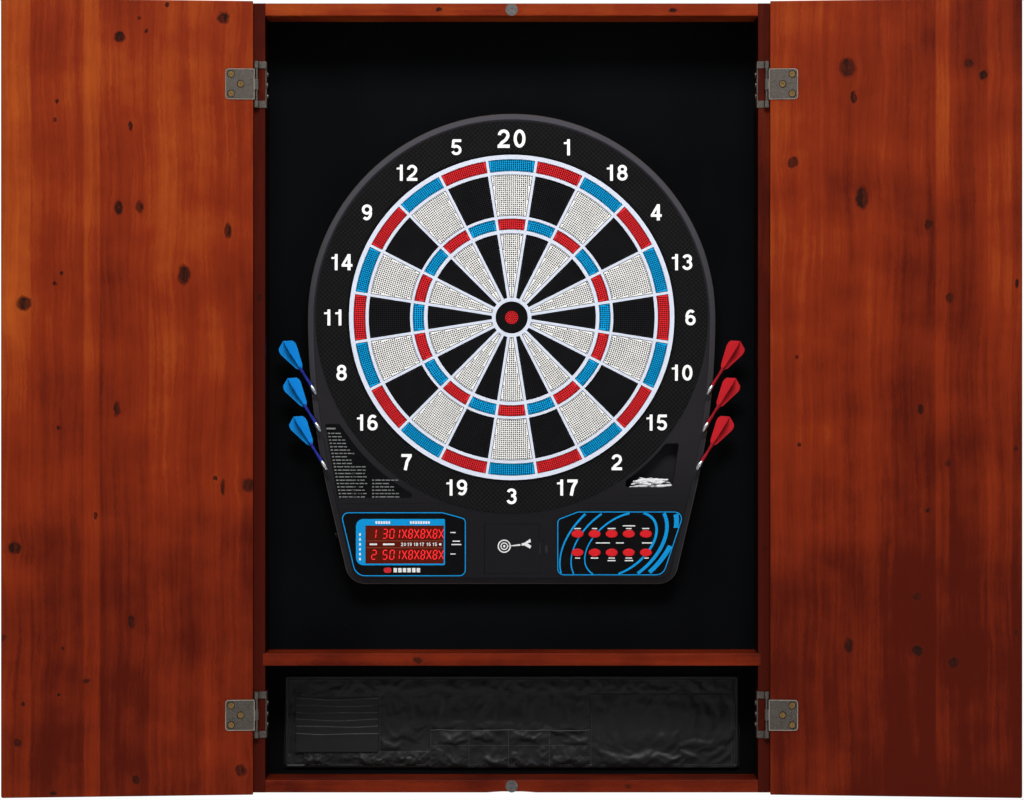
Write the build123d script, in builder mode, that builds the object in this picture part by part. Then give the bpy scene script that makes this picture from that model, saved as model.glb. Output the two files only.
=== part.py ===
from build123d import *
from math import asin, cos, degrees, radians, sin
import os

# A wall-hung cabinet of stained pine with two doors and a shelf. It holds an electronic soft-tip
# dart board, its six darts and a fabric organizer. Sizes are in millimetres.
#
# The origin is the centre of the cabinet's back, on the wall. +X is to the right, +Y into the
# wall and +Z up. A "depth" is a distance out from the wall, so it is -Y.

# ---- cabinet ----
CABINET_W = 621.0
CABINET_H = 947.0
CABINET_D = 110.0
BOARD_T = 15.0  # thickness of every pine board
EASE = 1.2  # rounding of the boards' long edges
SHELF_Z = -314.0  # middle of the shelf
HOUSING_D = 3.0  # groove in each side that holds the shelf's end
CLEAT_T = 15.0
CLEAT_H = 60.0
PANEL_T = 5.0  # hardboard back
PANEL_FACE = CLEAT_T + PANEL_T
CLEAT_ZS = (428.5, 0.0, -276.5)
WALL_SCREW_X = 203.2  # half of a 16 inch stud spacing
WALL_SCREW_R = 2.5
DOWEL_R = 4.0
DOWEL_L = 24.0
DOWEL_IN_SIDE = 10.0
DOWEL_DEPTHS = (32.0, 84.0)
SCOOP_W = 60.0  # finger scoop under the front of the bottom panel
SCOOP_D = 1.5
CATCH_R = 7.4
CATCH_L = 9.0
CATCH_PROUD = 0.6

INNER_W = CABINET_W - 2 * BOARD_T
INNER_H = CABINET_H - 2 * BOARD_T
RAIL_Z = (CABINET_H - BOARD_T) / 2

# ---- doors and hinges ----
DOOR_W = 300.0
DOOR_H = 951.0
DOOR_EDGE = 4.2  # hinge pin to the door's edge
DOOR_GAP = 1.6  # closed door to the cabinet's front edge
OPEN_ANGLE = 171.0  # the doors stand open in the stored pose
PIN_X = 306.0
PIN_DEPTH = 115.0
PIN_R = 2.0
PIN_PLAY = 0.05
HINGE_ZS = (376.0, -380.0)
LEAF_T = 1.2
LEAF_W = 35.0
LEAF_H = 36.8
EAR_H = 8.3
FRAME_LEAF_H = 55.6
FRAME_LEAF_D = 26.0
KNUCKLE_R = 3.25
KNUCKLE_H = 12.8
SCREW_R = 1.5
SCREW_L = 10.0
SCREW_HEAD_R = 3.5
SCREW_HEAD_T = 1.3
FRAME_SCREW_L = 11.0
FRAME_SCREWS = ((91.0, 13.0), (91.0, -13.0), (97.0, 0.0))  # depth and height above the hinge's middle

INNER_FACE = PIN_DEPTH - CABINET_D - DOOR_GAP  # pin to the door's inner face

# ---- dart board ----
BOARD_Z = 97.5  # centre of the target
CASE_BACK = PANEL_FACE
REAR_T = 3.0
CASE_FRONT = 58.0
FACE_T = 2.5
CASE_WALL = 2.5
CASE_R = 247.0
CASE_BEVEL = 7.5
FLANK_X = 222.0  # where the flank's curve runs into its straight
FLANK_Z = -118.0
FOOT_X = 196.7
FOOT_Z = -225.5
FOOT_R = 24.0
CREASE_Z = -128.5

WEB_R = 197.0
WEB_FLANGE_R = 202.0
WEB_FRONT = 58.8
WEB_BACK = 44.8
WEB_T = 3.2
RING_R = 237.5
RING_T = 1.4
RING_SEAT = 1.0
DOUBLE = (177.0, 191.7)
OUTER_SINGLE = (123.1, 173.2)
TRIPLE = (106.3, 119.9)
INNER_SINGLE = (24.0, 102.0)
BULL_R = 19.5
BULL_EYE_R = 8.1
CELL_PLAY = 0.4
SEGMENT_FRONT = 57.8
SEGMENT_BACK = 46.0
SECTOR = 18.0
MEMBRANE_T = 1.5
MEMBRANE_R = 192.0
BOSS_R = 4.0
BOSS_RING_R = 222.0
FOOT_BOSS_Z = -214.0
RIB_T = 3.0
RIB_RINGS = (190.0, 90.0)  # outer radii of the ribs behind the membrane
HOUSING_SCREW_R = 1.3

# ---- display, buttons, lid, tips bin ----
LABEL_T = 0.3
WINDOW_X = -129.7
WINDOW_Z = -177.6
WINDOW_W = 95.0
WINDOW_H = 46.2
BUTTON_X = 121.1  # middle column
BUTTON_PITCH = 20.7
BUTTON_ZS = (-164.6, -187.2)
BUTTON_W = 14.6
BUTTON_H = 9.5
BUTTON_PLAY = 0.4
BUTTON_FRONT = 60.2
LID_Z = -182.5
LID_W = 66.7
LID_H = 59.8
LID_T = 2.4
LID_PLAY = 0.6
LID_PIN_R = 1.0
LID_SEAT = 2.7
TAB_W = 6.0
TAB_H = 19.4
STORE_W = 60.0
STORE_H = 52.0
STORE_BACK = 32.0
BIN_R = 241.0
BIN_BACK = 38.0
BIN_FLOOR = -107.9
BIN_LIP = 5.0

# ---- darts ----
DART_LEAN = 32.0  # from the vertical, flights outwards
DART_TILT = 2.0  # flights towards the front
DART_DEPTH = 53.2
DART_ENTRIES = (("top", 237.3, 5.5), ("middle", 232.0, -39.5), ("bottom", 224.6, -86.0))
TUBE_R = 5.4
TUBE_BORE = 3.5
TUBE_L = 50.0
BORE_OUT = 25.0
BORE_IN = 90.0
BARREL_R = 2.8

os.makedirs("parts", exist_ok=True)


def front(depth):
    """The plane at a depth, facing away from the wall."""
    return Plane.XZ.offset(depth)


def save(piece, name):
    """Labels a finished piece and writes its STEP file."""
    piece.part.label = name
    export_step(piece.part, f"parts/{name}.step")


# ================= cabinet =================

DOWEL_SPOTS = [
    (x * (INNER_W / 2 - DOWEL_L / 2 + DOWEL_IN_SIDE), -depth, z)
    for x in (-1, 1)
    for depth in DOWEL_DEPTHS
    for z in (-RAIL_Z, RAIL_Z)
]
INSIDE_X = -INNER_W / 2  # inner face of the left side panel
FRAME_SCREW_SPOTS = [
    (INSIDE_X, -depth, hinge_z + z)
    for hinge_z in HINGE_ZS
    for depth, z in FRAME_SCREWS
]
PANEL_SCREW_XS = (-220.0, 0.0, 220.0)
PANEL_SCREW_L = 30.0

with BuildPart() as case_dowels:
    with Locations(*DOWEL_SPOTS):
        Cylinder(DOWEL_R, DOWEL_L, rotation=(0, 90, 0))
save(case_dowels, "case_dowels")

with BuildPart() as side_panel_left:
    with BuildSketch(front(0)):
        with Locations((-(CABINET_W - BOARD_T) / 2, 0)):
            Rectangle(BOARD_T, CABINET_H)
    extrude(amount=CABINET_D)
    front_edges = side_panel_left.faces().sort_by(Axis.Y)[0].edges().filter_by(Axis.Z)
    fillet(front_edges, EASE)
    with Locations((-INNER_W / 2, -(CABINET_D + PANEL_FACE) / 2, SHELF_Z)):
        Box(2 * HOUSING_D, CABINET_D - PANEL_FACE, BOARD_T, mode=Mode.SUBTRACT)
    with Locations(*DOWEL_SPOTS):
        Cylinder(DOWEL_R, DOWEL_L, rotation=(0, 90, 0), mode=Mode.SUBTRACT)
    with Locations(*FRAME_SCREW_SPOTS):
        Cylinder(SCREW_R, 2 * FRAME_SCREW_L, rotation=(0, 90, 0), mode=Mode.SUBTRACT)
save(side_panel_left, "side_panel_left")

with BuildPart() as side_panel_right:
    mirror(side_panel_left.part, about=Plane.YZ)
save(side_panel_right, "side_panel_right")

with BuildPart() as top_panel:
    with BuildSketch(front(0)):
        with Locations((0, RAIL_Z)):
            Rectangle(INNER_W, BOARD_T)
    extrude(amount=CABINET_D)
    fillet(top_panel.faces().sort_by(Axis.Y)[0].edges().filter_by(Axis.X), EASE)
    with Locations(*DOWEL_SPOTS):
        Cylinder(DOWEL_R, DOWEL_L, rotation=(0, 90, 0), mode=Mode.SUBTRACT)
    with Locations((0, -CABINET_D, RAIL_Z)):
        Cylinder(CATCH_R, 2 * CATCH_L, rotation=(90, 0, 0), mode=Mode.SUBTRACT)
save(top_panel, "top_panel")

with BuildPart() as bottom_panel:
    mirror(top_panel.part, about=Plane.XY)
    scoop_r = (SCOOP_W**2 / 4 + SCOOP_D**2) / (2 * SCOOP_D)
    with Locations((0, -CABINET_D, -CABINET_H / 2 + SCOOP_D - scoop_r)):
        Cylinder(scoop_r, 2 * BOARD_T, rotation=(90, 0, 0), mode=Mode.SUBTRACT)
save(bottom_panel, "bottom_panel")

with BuildPart() as door_catches:
    with Locations((0, -CABINET_D, RAIL_Z), (0, -CABINET_D, -RAIL_Z)):
        Cylinder(CATCH_R, CATCH_PROUD, rotation=(90, 0, 0), align=(Align.CENTER, Align.CENTER, Align.MIN))
        Cylinder(CATCH_R, CATCH_L, rotation=(90, 0, 0), align=(Align.CENTER, Align.CENTER, Align.MAX))
        with Locations((0, -CATCH_PROUD, 0)):
            Box(1.0, 0.8, 9.0, mode=Mode.SUBTRACT)
save(door_catches, "door_catches")

with BuildPart() as shelf:
    with BuildSketch(front(PANEL_FACE)):
        with Locations((0, SHELF_Z)):
            Rectangle(INNER_W + 2 * HOUSING_D, BOARD_T)
    extrude(amount=CABINET_D - PANEL_FACE)
    fillet(shelf.faces().sort_by(Axis.Y)[0].edges().filter_by(Axis.X), EASE)
    with Locations(*[(x, -PANEL_FACE, SHELF_Z) for x in PANEL_SCREW_XS]):
        Cylinder(SCREW_R, 2 * (PANEL_SCREW_L - PANEL_T), rotation=(90, 0, 0), mode=Mode.SUBTRACT)
save(shelf, "shelf")

BOARD_SCREW_SPOTS = [(x, z) for x in (-150.0, 150.0) for z in (200.0, -62.0)]
BOARD_SCREW_R = 1.8
BOARD_SCREW_L = 22.0
WALL_SCREW_SPOTS = [(x, z) for x in (-WALL_SCREW_X, WALL_SCREW_X) for z in (CLEAT_ZS[0], CLEAT_ZS[2])]

with BuildPart() as back_panel:
    with BuildSketch(front(CLEAT_T)):
        Rectangle(INNER_W, INNER_H)
        with Locations(*WALL_SCREW_SPOTS):
            Circle(WALL_SCREW_R, mode=Mode.SUBTRACT)
        with Locations(*BOARD_SCREW_SPOTS):
            Circle(BOARD_SCREW_R, mode=Mode.SUBTRACT)
        with Locations(*[(x, SHELF_Z) for x in PANEL_SCREW_XS]):
            Circle(SCREW_R, mode=Mode.SUBTRACT)
    extrude(amount=PANEL_T)
save(back_panel, "back_panel")

with BuildPart() as hanging_cleats:
    with BuildSketch(front(0)):
        with Locations(*[(0, z) for z in CLEAT_ZS]):
            Rectangle(INNER_W, CLEAT_H)
        with Locations(*WALL_SCREW_SPOTS):
            Circle(WALL_SCREW_R, mode=Mode.SUBTRACT)
    extrude(amount=CLEAT_T)
save(hanging_cleats, "hanging_cleats")

with BuildPart() as back_panel_screws:
    with BuildSketch(front(CLEAT_T - SCREW_HEAD_T)):
        with Locations(*[(x, SHELF_Z) for x in PANEL_SCREW_XS]):
            Circle(SCREW_HEAD_R)
    extrude(amount=SCREW_HEAD_T)
    with BuildSketch(front(CLEAT_T)):
        with Locations(*[(x, SHELF_Z) for x in PANEL_SCREW_XS]):
            Circle(SCREW_R)
    extrude(amount=PANEL_SCREW_L)
save(back_panel_screws, "back_panel_screws")


# ================= doors and hinges =================
# The left door is drawn from its pin: X runs across the door, Y out of its inner face and Z up,
# turned to where the door stands open. The right door is its mirror image.

door_plane = Plane(
    origin=(-PIN_X, -PIN_DEPTH, 0),
    x_dir=(cos(radians(OPEN_ANGLE)), -sin(radians(OPEN_ANGLE)), 0),
    z_dir=(0, 0, 1),
)
DOOR_SCREWS = [(31.0, 11.7), (31.0, -11.7), (19.5, 0.0)]  # across the door and up from the hinge
DOOR_SCREW_SPOTS = [(u, INNER_FACE, hinge_z + z) for hinge_z in HINGE_ZS for u, z in DOOR_SCREWS]

with BuildPart(door_plane) as door_left:
    with Locations((DOOR_EDGE + DOOR_W / 2, INNER_FACE - BOARD_T / 2, 0)):
        Box(DOOR_W, BOARD_T, DOOR_H)
    fillet(door_left.edges(), EASE)
    with Locations(*DOOR_SCREW_SPOTS):
        Cylinder(SCREW_R, 2 * SCREW_L, rotation=(90, 0, 0), mode=Mode.SUBTRACT)
save(door_left, "door_left")

with BuildPart(door_plane) as hinge_door_leaves_left:
    with Locations(*[(2.8 + LEAF_W / 2, INNER_FACE + LEAF_T / 2, z) for z in HINGE_ZS]):
        Box(LEAF_W, LEAF_T, LEAF_H)
    outer_edges = hinge_door_leaves_left.edges().filter_by(lambda e: abs(e.length - LEAF_T) < 0.01)
    fillet(outer_edges.group_by(Axis.X)[0], 4.0)
    with Locations(*[(0, 0, z) for z in HINGE_ZS]):
        with Locations((2.0, INNER_FACE + LEAF_T / 2 - 0.45, 0)):
            Box(4.0, LEAF_T + 0.9, KNUCKLE_H)
        Cylinder(KNUCKLE_R, KNUCKLE_H)
        Cylinder(PIN_R + PIN_PLAY, KNUCKLE_H, mode=Mode.SUBTRACT)
    with Locations(*DOOR_SCREW_SPOTS):
        Cylinder(SCREW_R, 4 * LEAF_T, rotation=(90, 0, 0), mode=Mode.SUBTRACT)
save(hinge_door_leaves_left, "hinge_door_leaves_left")

with BuildPart(door_plane) as door_hinge_screws_left:
    for u, y, z in DOOR_SCREW_SPOTS:
        with Locations((u, y - SCREW_L / 2 + LEAF_T / 2, z)):
            Cylinder(SCREW_R, SCREW_L + LEAF_T, rotation=(90, 0, 0))
        with Locations((u, y + LEAF_T + SCREW_HEAD_T / 2, z)):
            Cylinder(SCREW_HEAD_R, SCREW_HEAD_T, rotation=(90, 0, 0))
            Box(3.4, SCREW_HEAD_T + 0.1, 0.9, mode=Mode.SUBTRACT)
            Box(0.9, SCREW_HEAD_T + 0.1, 3.4, mode=Mode.SUBTRACT)
save(door_hinge_screws_left, "door_hinge_screws_left")

# The frame leaf lies on the side panel's inner face. Its two ears wrap round the front edge and
# curl round the pin, above and below the door leaf.
EAR_ZS = [side * (FRAME_LEAF_H - EAR_H) / 2 for side in (-1, 1)]
STRIP_W = PIN_X + INSIDE_X + LEAF_T

with BuildPart() as hinge_frame_leaves_left:
    with Locations(*[(INSIDE_X + LEAF_T / 2, FRAME_LEAF_D / 2 - CABINET_D - LEAF_T, z) for z in HINGE_ZS]):
        Box(LEAF_T, FRAME_LEAF_D, FRAME_LEAF_H)
        with Locations((0, -FRAME_LEAF_D / 2, 0)):
            Box(LEAF_T, 4 * LEAF_T, FRAME_LEAF_H - 2 * EAR_H, mode=Mode.SUBTRACT)
    with Locations(*[(0, 0, hinge_z + ear_z) for hinge_z in HINGE_ZS for ear_z in EAR_ZS]):
        with Locations((LEAF_T + INSIDE_X - STRIP_W / 2, -CABINET_D - LEAF_T / 2, 0)):
            Box(STRIP_W, LEAF_T, EAR_H)
        with Locations((-PIN_X, -CABINET_D - 1.1, 0)):
            Box(4.0, 2.2, EAR_H)
        with Locations((-PIN_X, -PIN_DEPTH, 0)):
            Cylinder(KNUCKLE_R + 0.15, EAR_H)
            Cylinder(PIN_R, EAR_H, mode=Mode.SUBTRACT)
    with Locations(*FRAME_SCREW_SPOTS):
        Cylinder(SCREW_R, 4 * LEAF_T, rotation=(0, 90, 0), mode=Mode.SUBTRACT)
save(hinge_frame_leaves_left, "hinge_frame_leaves_left")

with BuildPart() as frame_hinge_screws:
    for x, y, z in FRAME_SCREW_SPOTS:
        with Locations((x + (LEAF_T - FRAME_SCREW_L) / 2, y, z)):
            Cylinder(SCREW_R, FRAME_SCREW_L + LEAF_T, rotation=(0, 90, 0))
        with Locations((x + LEAF_T + SCREW_HEAD_T / 2, y, z)):
            Cylinder(SCREW_HEAD_R, SCREW_HEAD_T, rotation=(0, 90, 0))
            Box(SCREW_HEAD_T + 0.1, 3.4, 0.9, mode=Mode.SUBTRACT)
            Box(SCREW_HEAD_T + 0.1, 0.9, 3.4, mode=Mode.SUBTRACT)
    mirror(frame_hinge_screws.part, about=Plane.YZ)
save(frame_hinge_screws, "frame_hinge_screws")

with BuildPart() as hinge_pins:
    with Locations(*[(side * PIN_X, -PIN_DEPTH, z) for side in (-1, 1) for z in HINGE_ZS]):
        Cylinder(PIN_R, FRAME_LEAF_H)
    fillet(hinge_pins.edges(), 0.6)
save(hinge_pins, "hinge_pins")

RIGHT_HAND = {
    "door_right": door_left,
    "hinge_door_leaves_right": hinge_door_leaves_left,
    "door_hinge_screws_right": door_hinge_screws_left,
    "hinge_frame_leaves_right": hinge_frame_leaves_left,
}
for name, original in RIGHT_HAND.items():
    with BuildPart() as mirrored:
        mirror(original.part, about=Plane.YZ)
    save(mirrored, name)


# ================= dart board casing =================

BOSS_SPOTS = [
    (BOSS_RING_R * cos(radians(a)), BOARD_Z + BOSS_RING_R * sin(radians(a))) for a in range(0, 181, 45)
]
BOSS_SPOTS += [(x, FOOT_BOSS_Z) for x in (-150.0, -48.0, 48.0, 150.0)]
BUTTON_XS = [BUTTON_X + BUTTON_PITCH * i for i in range(-2, 3)]
BUTTON_SPOTS = [(x, z) for z in BUTTON_ZS for x in BUTTON_XS]
DISPLAY_PEGS = [(x, z) for x in (-182.0, -77.0) for z in (-206.0, -150.0)]
BUTTON_PEGS = [(x, z) for x in (66.0, 178.0) for z in (-204.0, -148.0)]
PEG_R = 2.2
DISPLAY_BOARD_FRONT = 47.6
BUTTON_BOARD_FRONT = 49.6
CIRCUIT_T = 1.6
INLET_Z = -166.6
INLET_DEPTH = 36.0
INLET_R = 6.0
FLANK_LEAN = degrees(asin((FLANK_X - FOOT_X) / ((FLANK_X - FOOT_X) ** 2 + (FLANK_Z - FOOT_Z) ** 2) ** 0.5))
INLET_X = FLANK_X - (FLANK_Z - INLET_Z) * (FLANK_X - FOOT_X) / (FLANK_Z - FOOT_Z)


def casing_outline(inset=0.0):
    """The casing seen from the front: a round top, flanks that draw in and a flat foot."""
    with BuildSketch() as outline:
        with BuildLine():
            ThreePointArc((0, BOARD_Z + CASE_R), (CASE_R * sin(radians(45)),
                          BOARD_Z + CASE_R * cos(radians(45))), (CASE_R, BOARD_Z))
            TangentArc((CASE_R, BOARD_Z), (FLANK_X, FLANK_Z), tangent=(0, -1))
            Polyline((FLANK_X, FLANK_Z), (FOOT_X, FOOT_Z), (0, FOOT_Z), (0, BOARD_Z + CASE_R))
        make_face()
        mirror(about=Plane.YZ)
        fillet(outline.vertices().group_by(Axis.Y)[0], FOOT_R)
        if inset:
            offset(amount=-inset)
    return outline.sketch


def dart_plane(side, entry_x, entry_z):
    """A plane whose Z is a dart's axis, pointing from the casing's edge to the flights."""
    lean = radians(DART_LEAN)
    tilt = radians(DART_TILT)
    out = (side * sin(lean) * cos(tilt), -sin(tilt), cos(lean) * cos(tilt))
    return Plane(origin=(side * entry_x, -DART_DEPTH, entry_z), x_dir=(cos(lean), 0, -side * sin(lean)), z_dir=out)


def inlet_plane():
    """A plane on the left flank whose Z points straight out of it."""
    lean = radians(FLANK_LEAN)
    return Plane(origin=(-INLET_X, -INLET_DEPTH, INLET_Z), x_dir=(0, 1, 0), z_dir=(-cos(lean), 0, -sin(lean)))


def rounded_face(corners):
    """A flat shape with straight sides, from its corners as (x, z, radius)."""
    with BuildSketch() as shape:
        with BuildLine():
            Polyline(*[(x, z) for x, z, _ in corners], close=True)
        make_face()
        for x, z, radius in corners:
            fillet(shape.vertices().sort_by_distance((x, z))[0], radius)
    return shape.sketch


def ring_side_face(points, arc_r, radius):
    """A flat shape like rounded_face, cut back by a circle round the target."""
    with BuildSketch() as shape:
        with BuildLine():
            Polyline(*points, close=True)
        make_face()
        with Locations((0, BOARD_Z)):
            Circle(arc_r, mode=Mode.SUBTRACT)
        fillet(shape.vertices(), radius)
    return shape.sketch


outer_outline = casing_outline()
inner_outline = casing_outline(CASE_WALL)
games_shape = ring_side_face(
    [(-226.0, -31.6), (-180.0, -31.6), (-121.0, -90.0), (-121.0, -121.2), (-210.9, -121.2)], 245.0, 1.5
)
display_shape = rounded_face(
    [(-207.9, -138.2, 8.0), (-83.6, -138.2, 6.0), (-55.3, -146.0, 6.0), (-55.3, -216.2, 8.0), (-189.4, -216.2, 15.0)]
)
control_shape = rounded_face(
    [(55.0, -147.0, 6.0), (80.0, -137.3, 6.0), (210.0, -137.3, 9.0), (184.1, -215.1, 13.0), (55.0, -215.1, 8.0)]
)
bin_mouth = ring_side_face([(138.0, -55.0), (202.8, -55.0), (195.0, BIN_FLOOR), (138.0, BIN_FLOOR)], BIN_R, 2.5)
bin_inside = ring_side_face(
    [(138.0, -55.0), (202.8, -55.0), (194.3, BIN_FLOOR - BIN_LIP), (138.0, BIN_FLOOR - BIN_LIP)], BIN_R, 2.5
)

with BuildPart() as case_hollow:
    with BuildSketch(front(CASE_BACK + REAR_T)):
        add(inner_outline)
    extrude(amount=CASE_FRONT - FACE_T - CASE_BACK - REAR_T)
    chamfer(case_hollow.faces().sort_by(Axis.Y)[0].edges(), CASE_BEVEL - 1.0)

dart_tubes = []
dart_bores = []
for side in (-1, 1):
    for _, entry_x, entry_z in DART_ENTRIES:
        with BuildPart(dart_plane(side, entry_x, entry_z)) as dart_tube:
            with Locations((0, 0, -1.0)):
                Cylinder(TUBE_R, TUBE_L, align=(Align.CENTER, Align.CENTER, Align.MAX))
        dart_tubes.append(dart_tube.part)
        with BuildPart(dart_plane(side, entry_x, entry_z)) as dart_bore:
            with Locations((0, 0, BORE_OUT)):
                Cylinder(TUBE_BORE, BORE_OUT + BORE_IN, align=(Align.CENTER, Align.CENTER, Align.MAX))
        dart_bores.append(dart_bore.part)

with BuildPart() as front_housing:
    with BuildSketch(front(CASE_BACK + REAR_T)):
        add(outer_outline)
    extrude(amount=CASE_FRONT - CASE_BACK - REAR_T)
    chamfer(front_housing.faces().sort_by(Axis.Y)[0].edges(), CASE_BEVEL)
    add(case_hollow.part, mode=Mode.SUBTRACT)
    # Screw bosses and the pegs that hold the circuit boards.
    with BuildSketch(front(CASE_BACK + REAR_T)):
        with Locations(*BOSS_SPOTS):
            Circle(BOSS_R)
    extrude(amount=CASE_FRONT - FACE_T - CASE_BACK - REAR_T)
    with BuildSketch(front(DISPLAY_BOARD_FRONT)):
        with Locations(*DISPLAY_PEGS):
            Circle(PEG_R)
    extrude(amount=CASE_FRONT - FACE_T - DISPLAY_BOARD_FRONT)
    with BuildSketch(front(BUTTON_BOARD_FRONT)):
        with Locations(*BUTTON_PEGS):
            Circle(PEG_R)
    extrude(amount=CASE_FRONT - FACE_T - BUTTON_BOARD_FRONT)
    with BuildSketch(front(CASE_BACK + REAR_T)):
        with Locations(*BOSS_SPOTS):
            Circle(HOUSING_SCREW_R)
    extrude(amount=20.0, mode=Mode.SUBTRACT)
    # Storage box behind the lid.
    with BuildSketch(front(STORE_BACK - CASE_WALL)):
        with Locations((0, LID_Z)):
            Rectangle(STORE_W + 2 * CASE_WALL, STORE_H + 2 * CASE_WALL)
    extrude(amount=CASE_FRONT - FACE_T - STORE_BACK + CASE_WALL)
    with BuildSketch(front(CASE_FRONT - LID_SEAT - CASE_WALL)):
        with Locations((0, LID_Z)):
            Rectangle(LID_W + 8.0, LID_H + 8.0)
    extrude(amount=CASE_WALL + LID_SEAT - LABEL_T)
    with BuildSketch(front(CASE_FRONT - LID_SEAT)):
        with Locations((0, LID_Z)):
            Rectangle(LID_W + LID_PLAY, LID_H + LID_PLAY)
        with Locations(((LID_W + TAB_W) / 2, LID_Z)):
            Rectangle(TAB_W + LID_PLAY, TAB_H + LID_PLAY)
    extrude(amount=LID_SEAT, mode=Mode.SUBTRACT)
    with BuildSketch(front(STORE_BACK)):
        with Locations((0.5, LID_Z)):
            Rectangle(STORE_W, STORE_H)
    extrude(amount=CASE_FRONT - STORE_BACK, mode=Mode.SUBTRACT)
    with BuildSketch(front(CASE_FRONT - 1.6)):
        with Locations(((LID_W / 2 + TAB_W + 2.6), LID_Z)):
            SlotOverall(11.0, 4.2, rotation=90)
    extrude(amount=1.6, mode=Mode.SUBTRACT)
    with Locations(((LID_T - LID_W) / 2, LID_T / 2 - CASE_FRONT, LID_Z)):
        Cylinder(LID_PIN_R + PIN_PLAY, LID_H + 6.0, mode=Mode.SUBTRACT)
    # Bin for the spare tips.
    with BuildSketch(front(BIN_BACK - CASE_WALL)):
        add(offset(bin_inside, amount=CASE_WALL, mode=Mode.PRIVATE))
    extrude(amount=CASE_FRONT - FACE_T - BIN_BACK + CASE_WALL)
    with BuildSketch(front(BIN_BACK)):
        add(bin_inside)
    extrude(amount=CASE_FRONT - FACE_T - BIN_BACK, mode=Mode.SUBTRACT)
    with BuildSketch(front(BIN_BACK)):
        add(bin_mouth)
    extrude(amount=CASE_FRONT - BIN_BACK, mode=Mode.SUBTRACT)
    # Window for the target and the seat of the number ring.
    with BuildSketch(front(CASE_FRONT - RING_SEAT)):
        with Locations((0, BOARD_Z)):
            Circle(RING_R)
    extrude(amount=RING_SEAT, mode=Mode.SUBTRACT)
    with BuildSketch(front(CASE_FRONT - FACE_T)):
        with Locations((0, BOARD_Z)):
            Circle(WEB_R)
    extrude(amount=FACE_T, mode=Mode.SUBTRACT)
    add(dart_tubes)
    # Label seats, display window, button holes and the grooves across the face.
    with BuildSketch(front(CASE_FRONT - LABEL_T)):
        add(games_shape)
        add(display_shape)
        add(control_shape)
    extrude(amount=LABEL_T, mode=Mode.SUBTRACT)
    with BuildSketch(front(CASE_FRONT - FACE_T)):
        with Locations((WINDOW_X, WINDOW_Z)):
            Rectangle(WINDOW_W, WINDOW_H)
        with Locations(*BUTTON_SPOTS):
            Ellipse(BUTTON_W / 2 + BUTTON_PLAY, BUTTON_H / 2 + BUTTON_PLAY)
    extrude(amount=FACE_T, mode=Mode.SUBTRACT)
    with BuildSketch(front(CASE_FRONT - 0.6)):
        with Locations((0, CREASE_Z)):
            Rectangle(410.0, 1.0)
        with Locations((163.0, -118.8)):
            SlotOverall(47.0, 1.4)
    extrude(amount=0.6, mode=Mode.SUBTRACT)
    with BuildSketch(inlet_plane()):
        Circle(INLET_R)
    extrude(amount=-8.0, mode=Mode.SUBTRACT)
    add(dart_bores, mode=Mode.SUBTRACT)
save(front_housing, "front_housing")

with BuildPart() as rear_cover:
    with BuildSketch(front(CASE_BACK)):
        add(outer_outline)
    extrude(amount=REAR_T)
    # A wall and ribs press the sensor membrane against the target.
    with BuildSketch(front(CASE_BACK + REAR_T)):
        with Locations((0, BOARD_Z)):
            for rib_r in RIB_RINGS:
                Circle(rib_r)
                Circle(rib_r - RIB_T, mode=Mode.SUBTRACT)
            with PolarLocations((RIB_RINGS[0] + RIB_RINGS[1] - RIB_T) / 2, 8, start_angle=22.5):
                Rectangle(RIB_RINGS[0] - RIB_RINGS[1], RIB_T)
            Circle(6.0)
    extrude(amount=WEB_BACK - MEMBRANE_T - CASE_BACK - REAR_T)
    with BuildSketch(front(CASE_BACK + REAR_T)):
        with Locations(*BOARD_SCREW_SPOTS):
            Circle(5.0)
    extrude(amount=15.0)
    with BuildSketch(front(CASE_BACK)):
        with Locations(*BOARD_SCREW_SPOTS):
            Circle(BOARD_SCREW_R)
    extrude(amount=BOARD_SCREW_L - PANEL_T, mode=Mode.SUBTRACT)
    with BuildSketch(front(CASE_BACK)):
        with Locations(*BOSS_SPOTS):
            Circle(HOUSING_SCREW_R)
    extrude(amount=REAR_T, mode=Mode.SUBTRACT)
    with BuildSketch(front(CASE_BACK)):
        with Locations(*BOSS_SPOTS):
            Circle(SCREW_HEAD_R)
    extrude(amount=SCREW_HEAD_T, mode=Mode.SUBTRACT)
save(rear_cover, "rear_cover")

with BuildPart() as housing_screws:
    with BuildSketch(front(CASE_BACK)):
        with Locations(*BOSS_SPOTS):
            Circle(SCREW_HEAD_R)
    extrude(amount=SCREW_HEAD_T)
    with BuildSketch(front(CASE_BACK + SCREW_HEAD_T)):
        with Locations(*BOSS_SPOTS):
            Circle(HOUSING_SCREW_R)
    extrude(amount=18.0)
save(housing_screws, "housing_screws")

with BuildPart() as board_fixing_screws:
    with BuildSketch(front(CLEAT_T - SCREW_HEAD_T)):
        with Locations(*BOARD_SCREW_SPOTS):
            Circle(4.0)
    extrude(amount=SCREW_HEAD_T)
    with BuildSketch(front(CLEAT_T)):
        with Locations(*BOARD_SCREW_SPOTS):
            Circle(BOARD_SCREW_R)
    extrude(amount=BOARD_SCREW_L)
save(board_fixing_screws, "board_fixing_screws")


# ================= target =================

with BuildPart() as number_ring:
    with BuildSketch(front(CASE_FRONT - RING_SEAT)):
        with Locations((0, BOARD_Z)):
            Circle(RING_R)
            Circle(WEB_R, mode=Mode.SUBTRACT)
    extrude(amount=RING_T)
save(number_ring, "number_ring")

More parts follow.
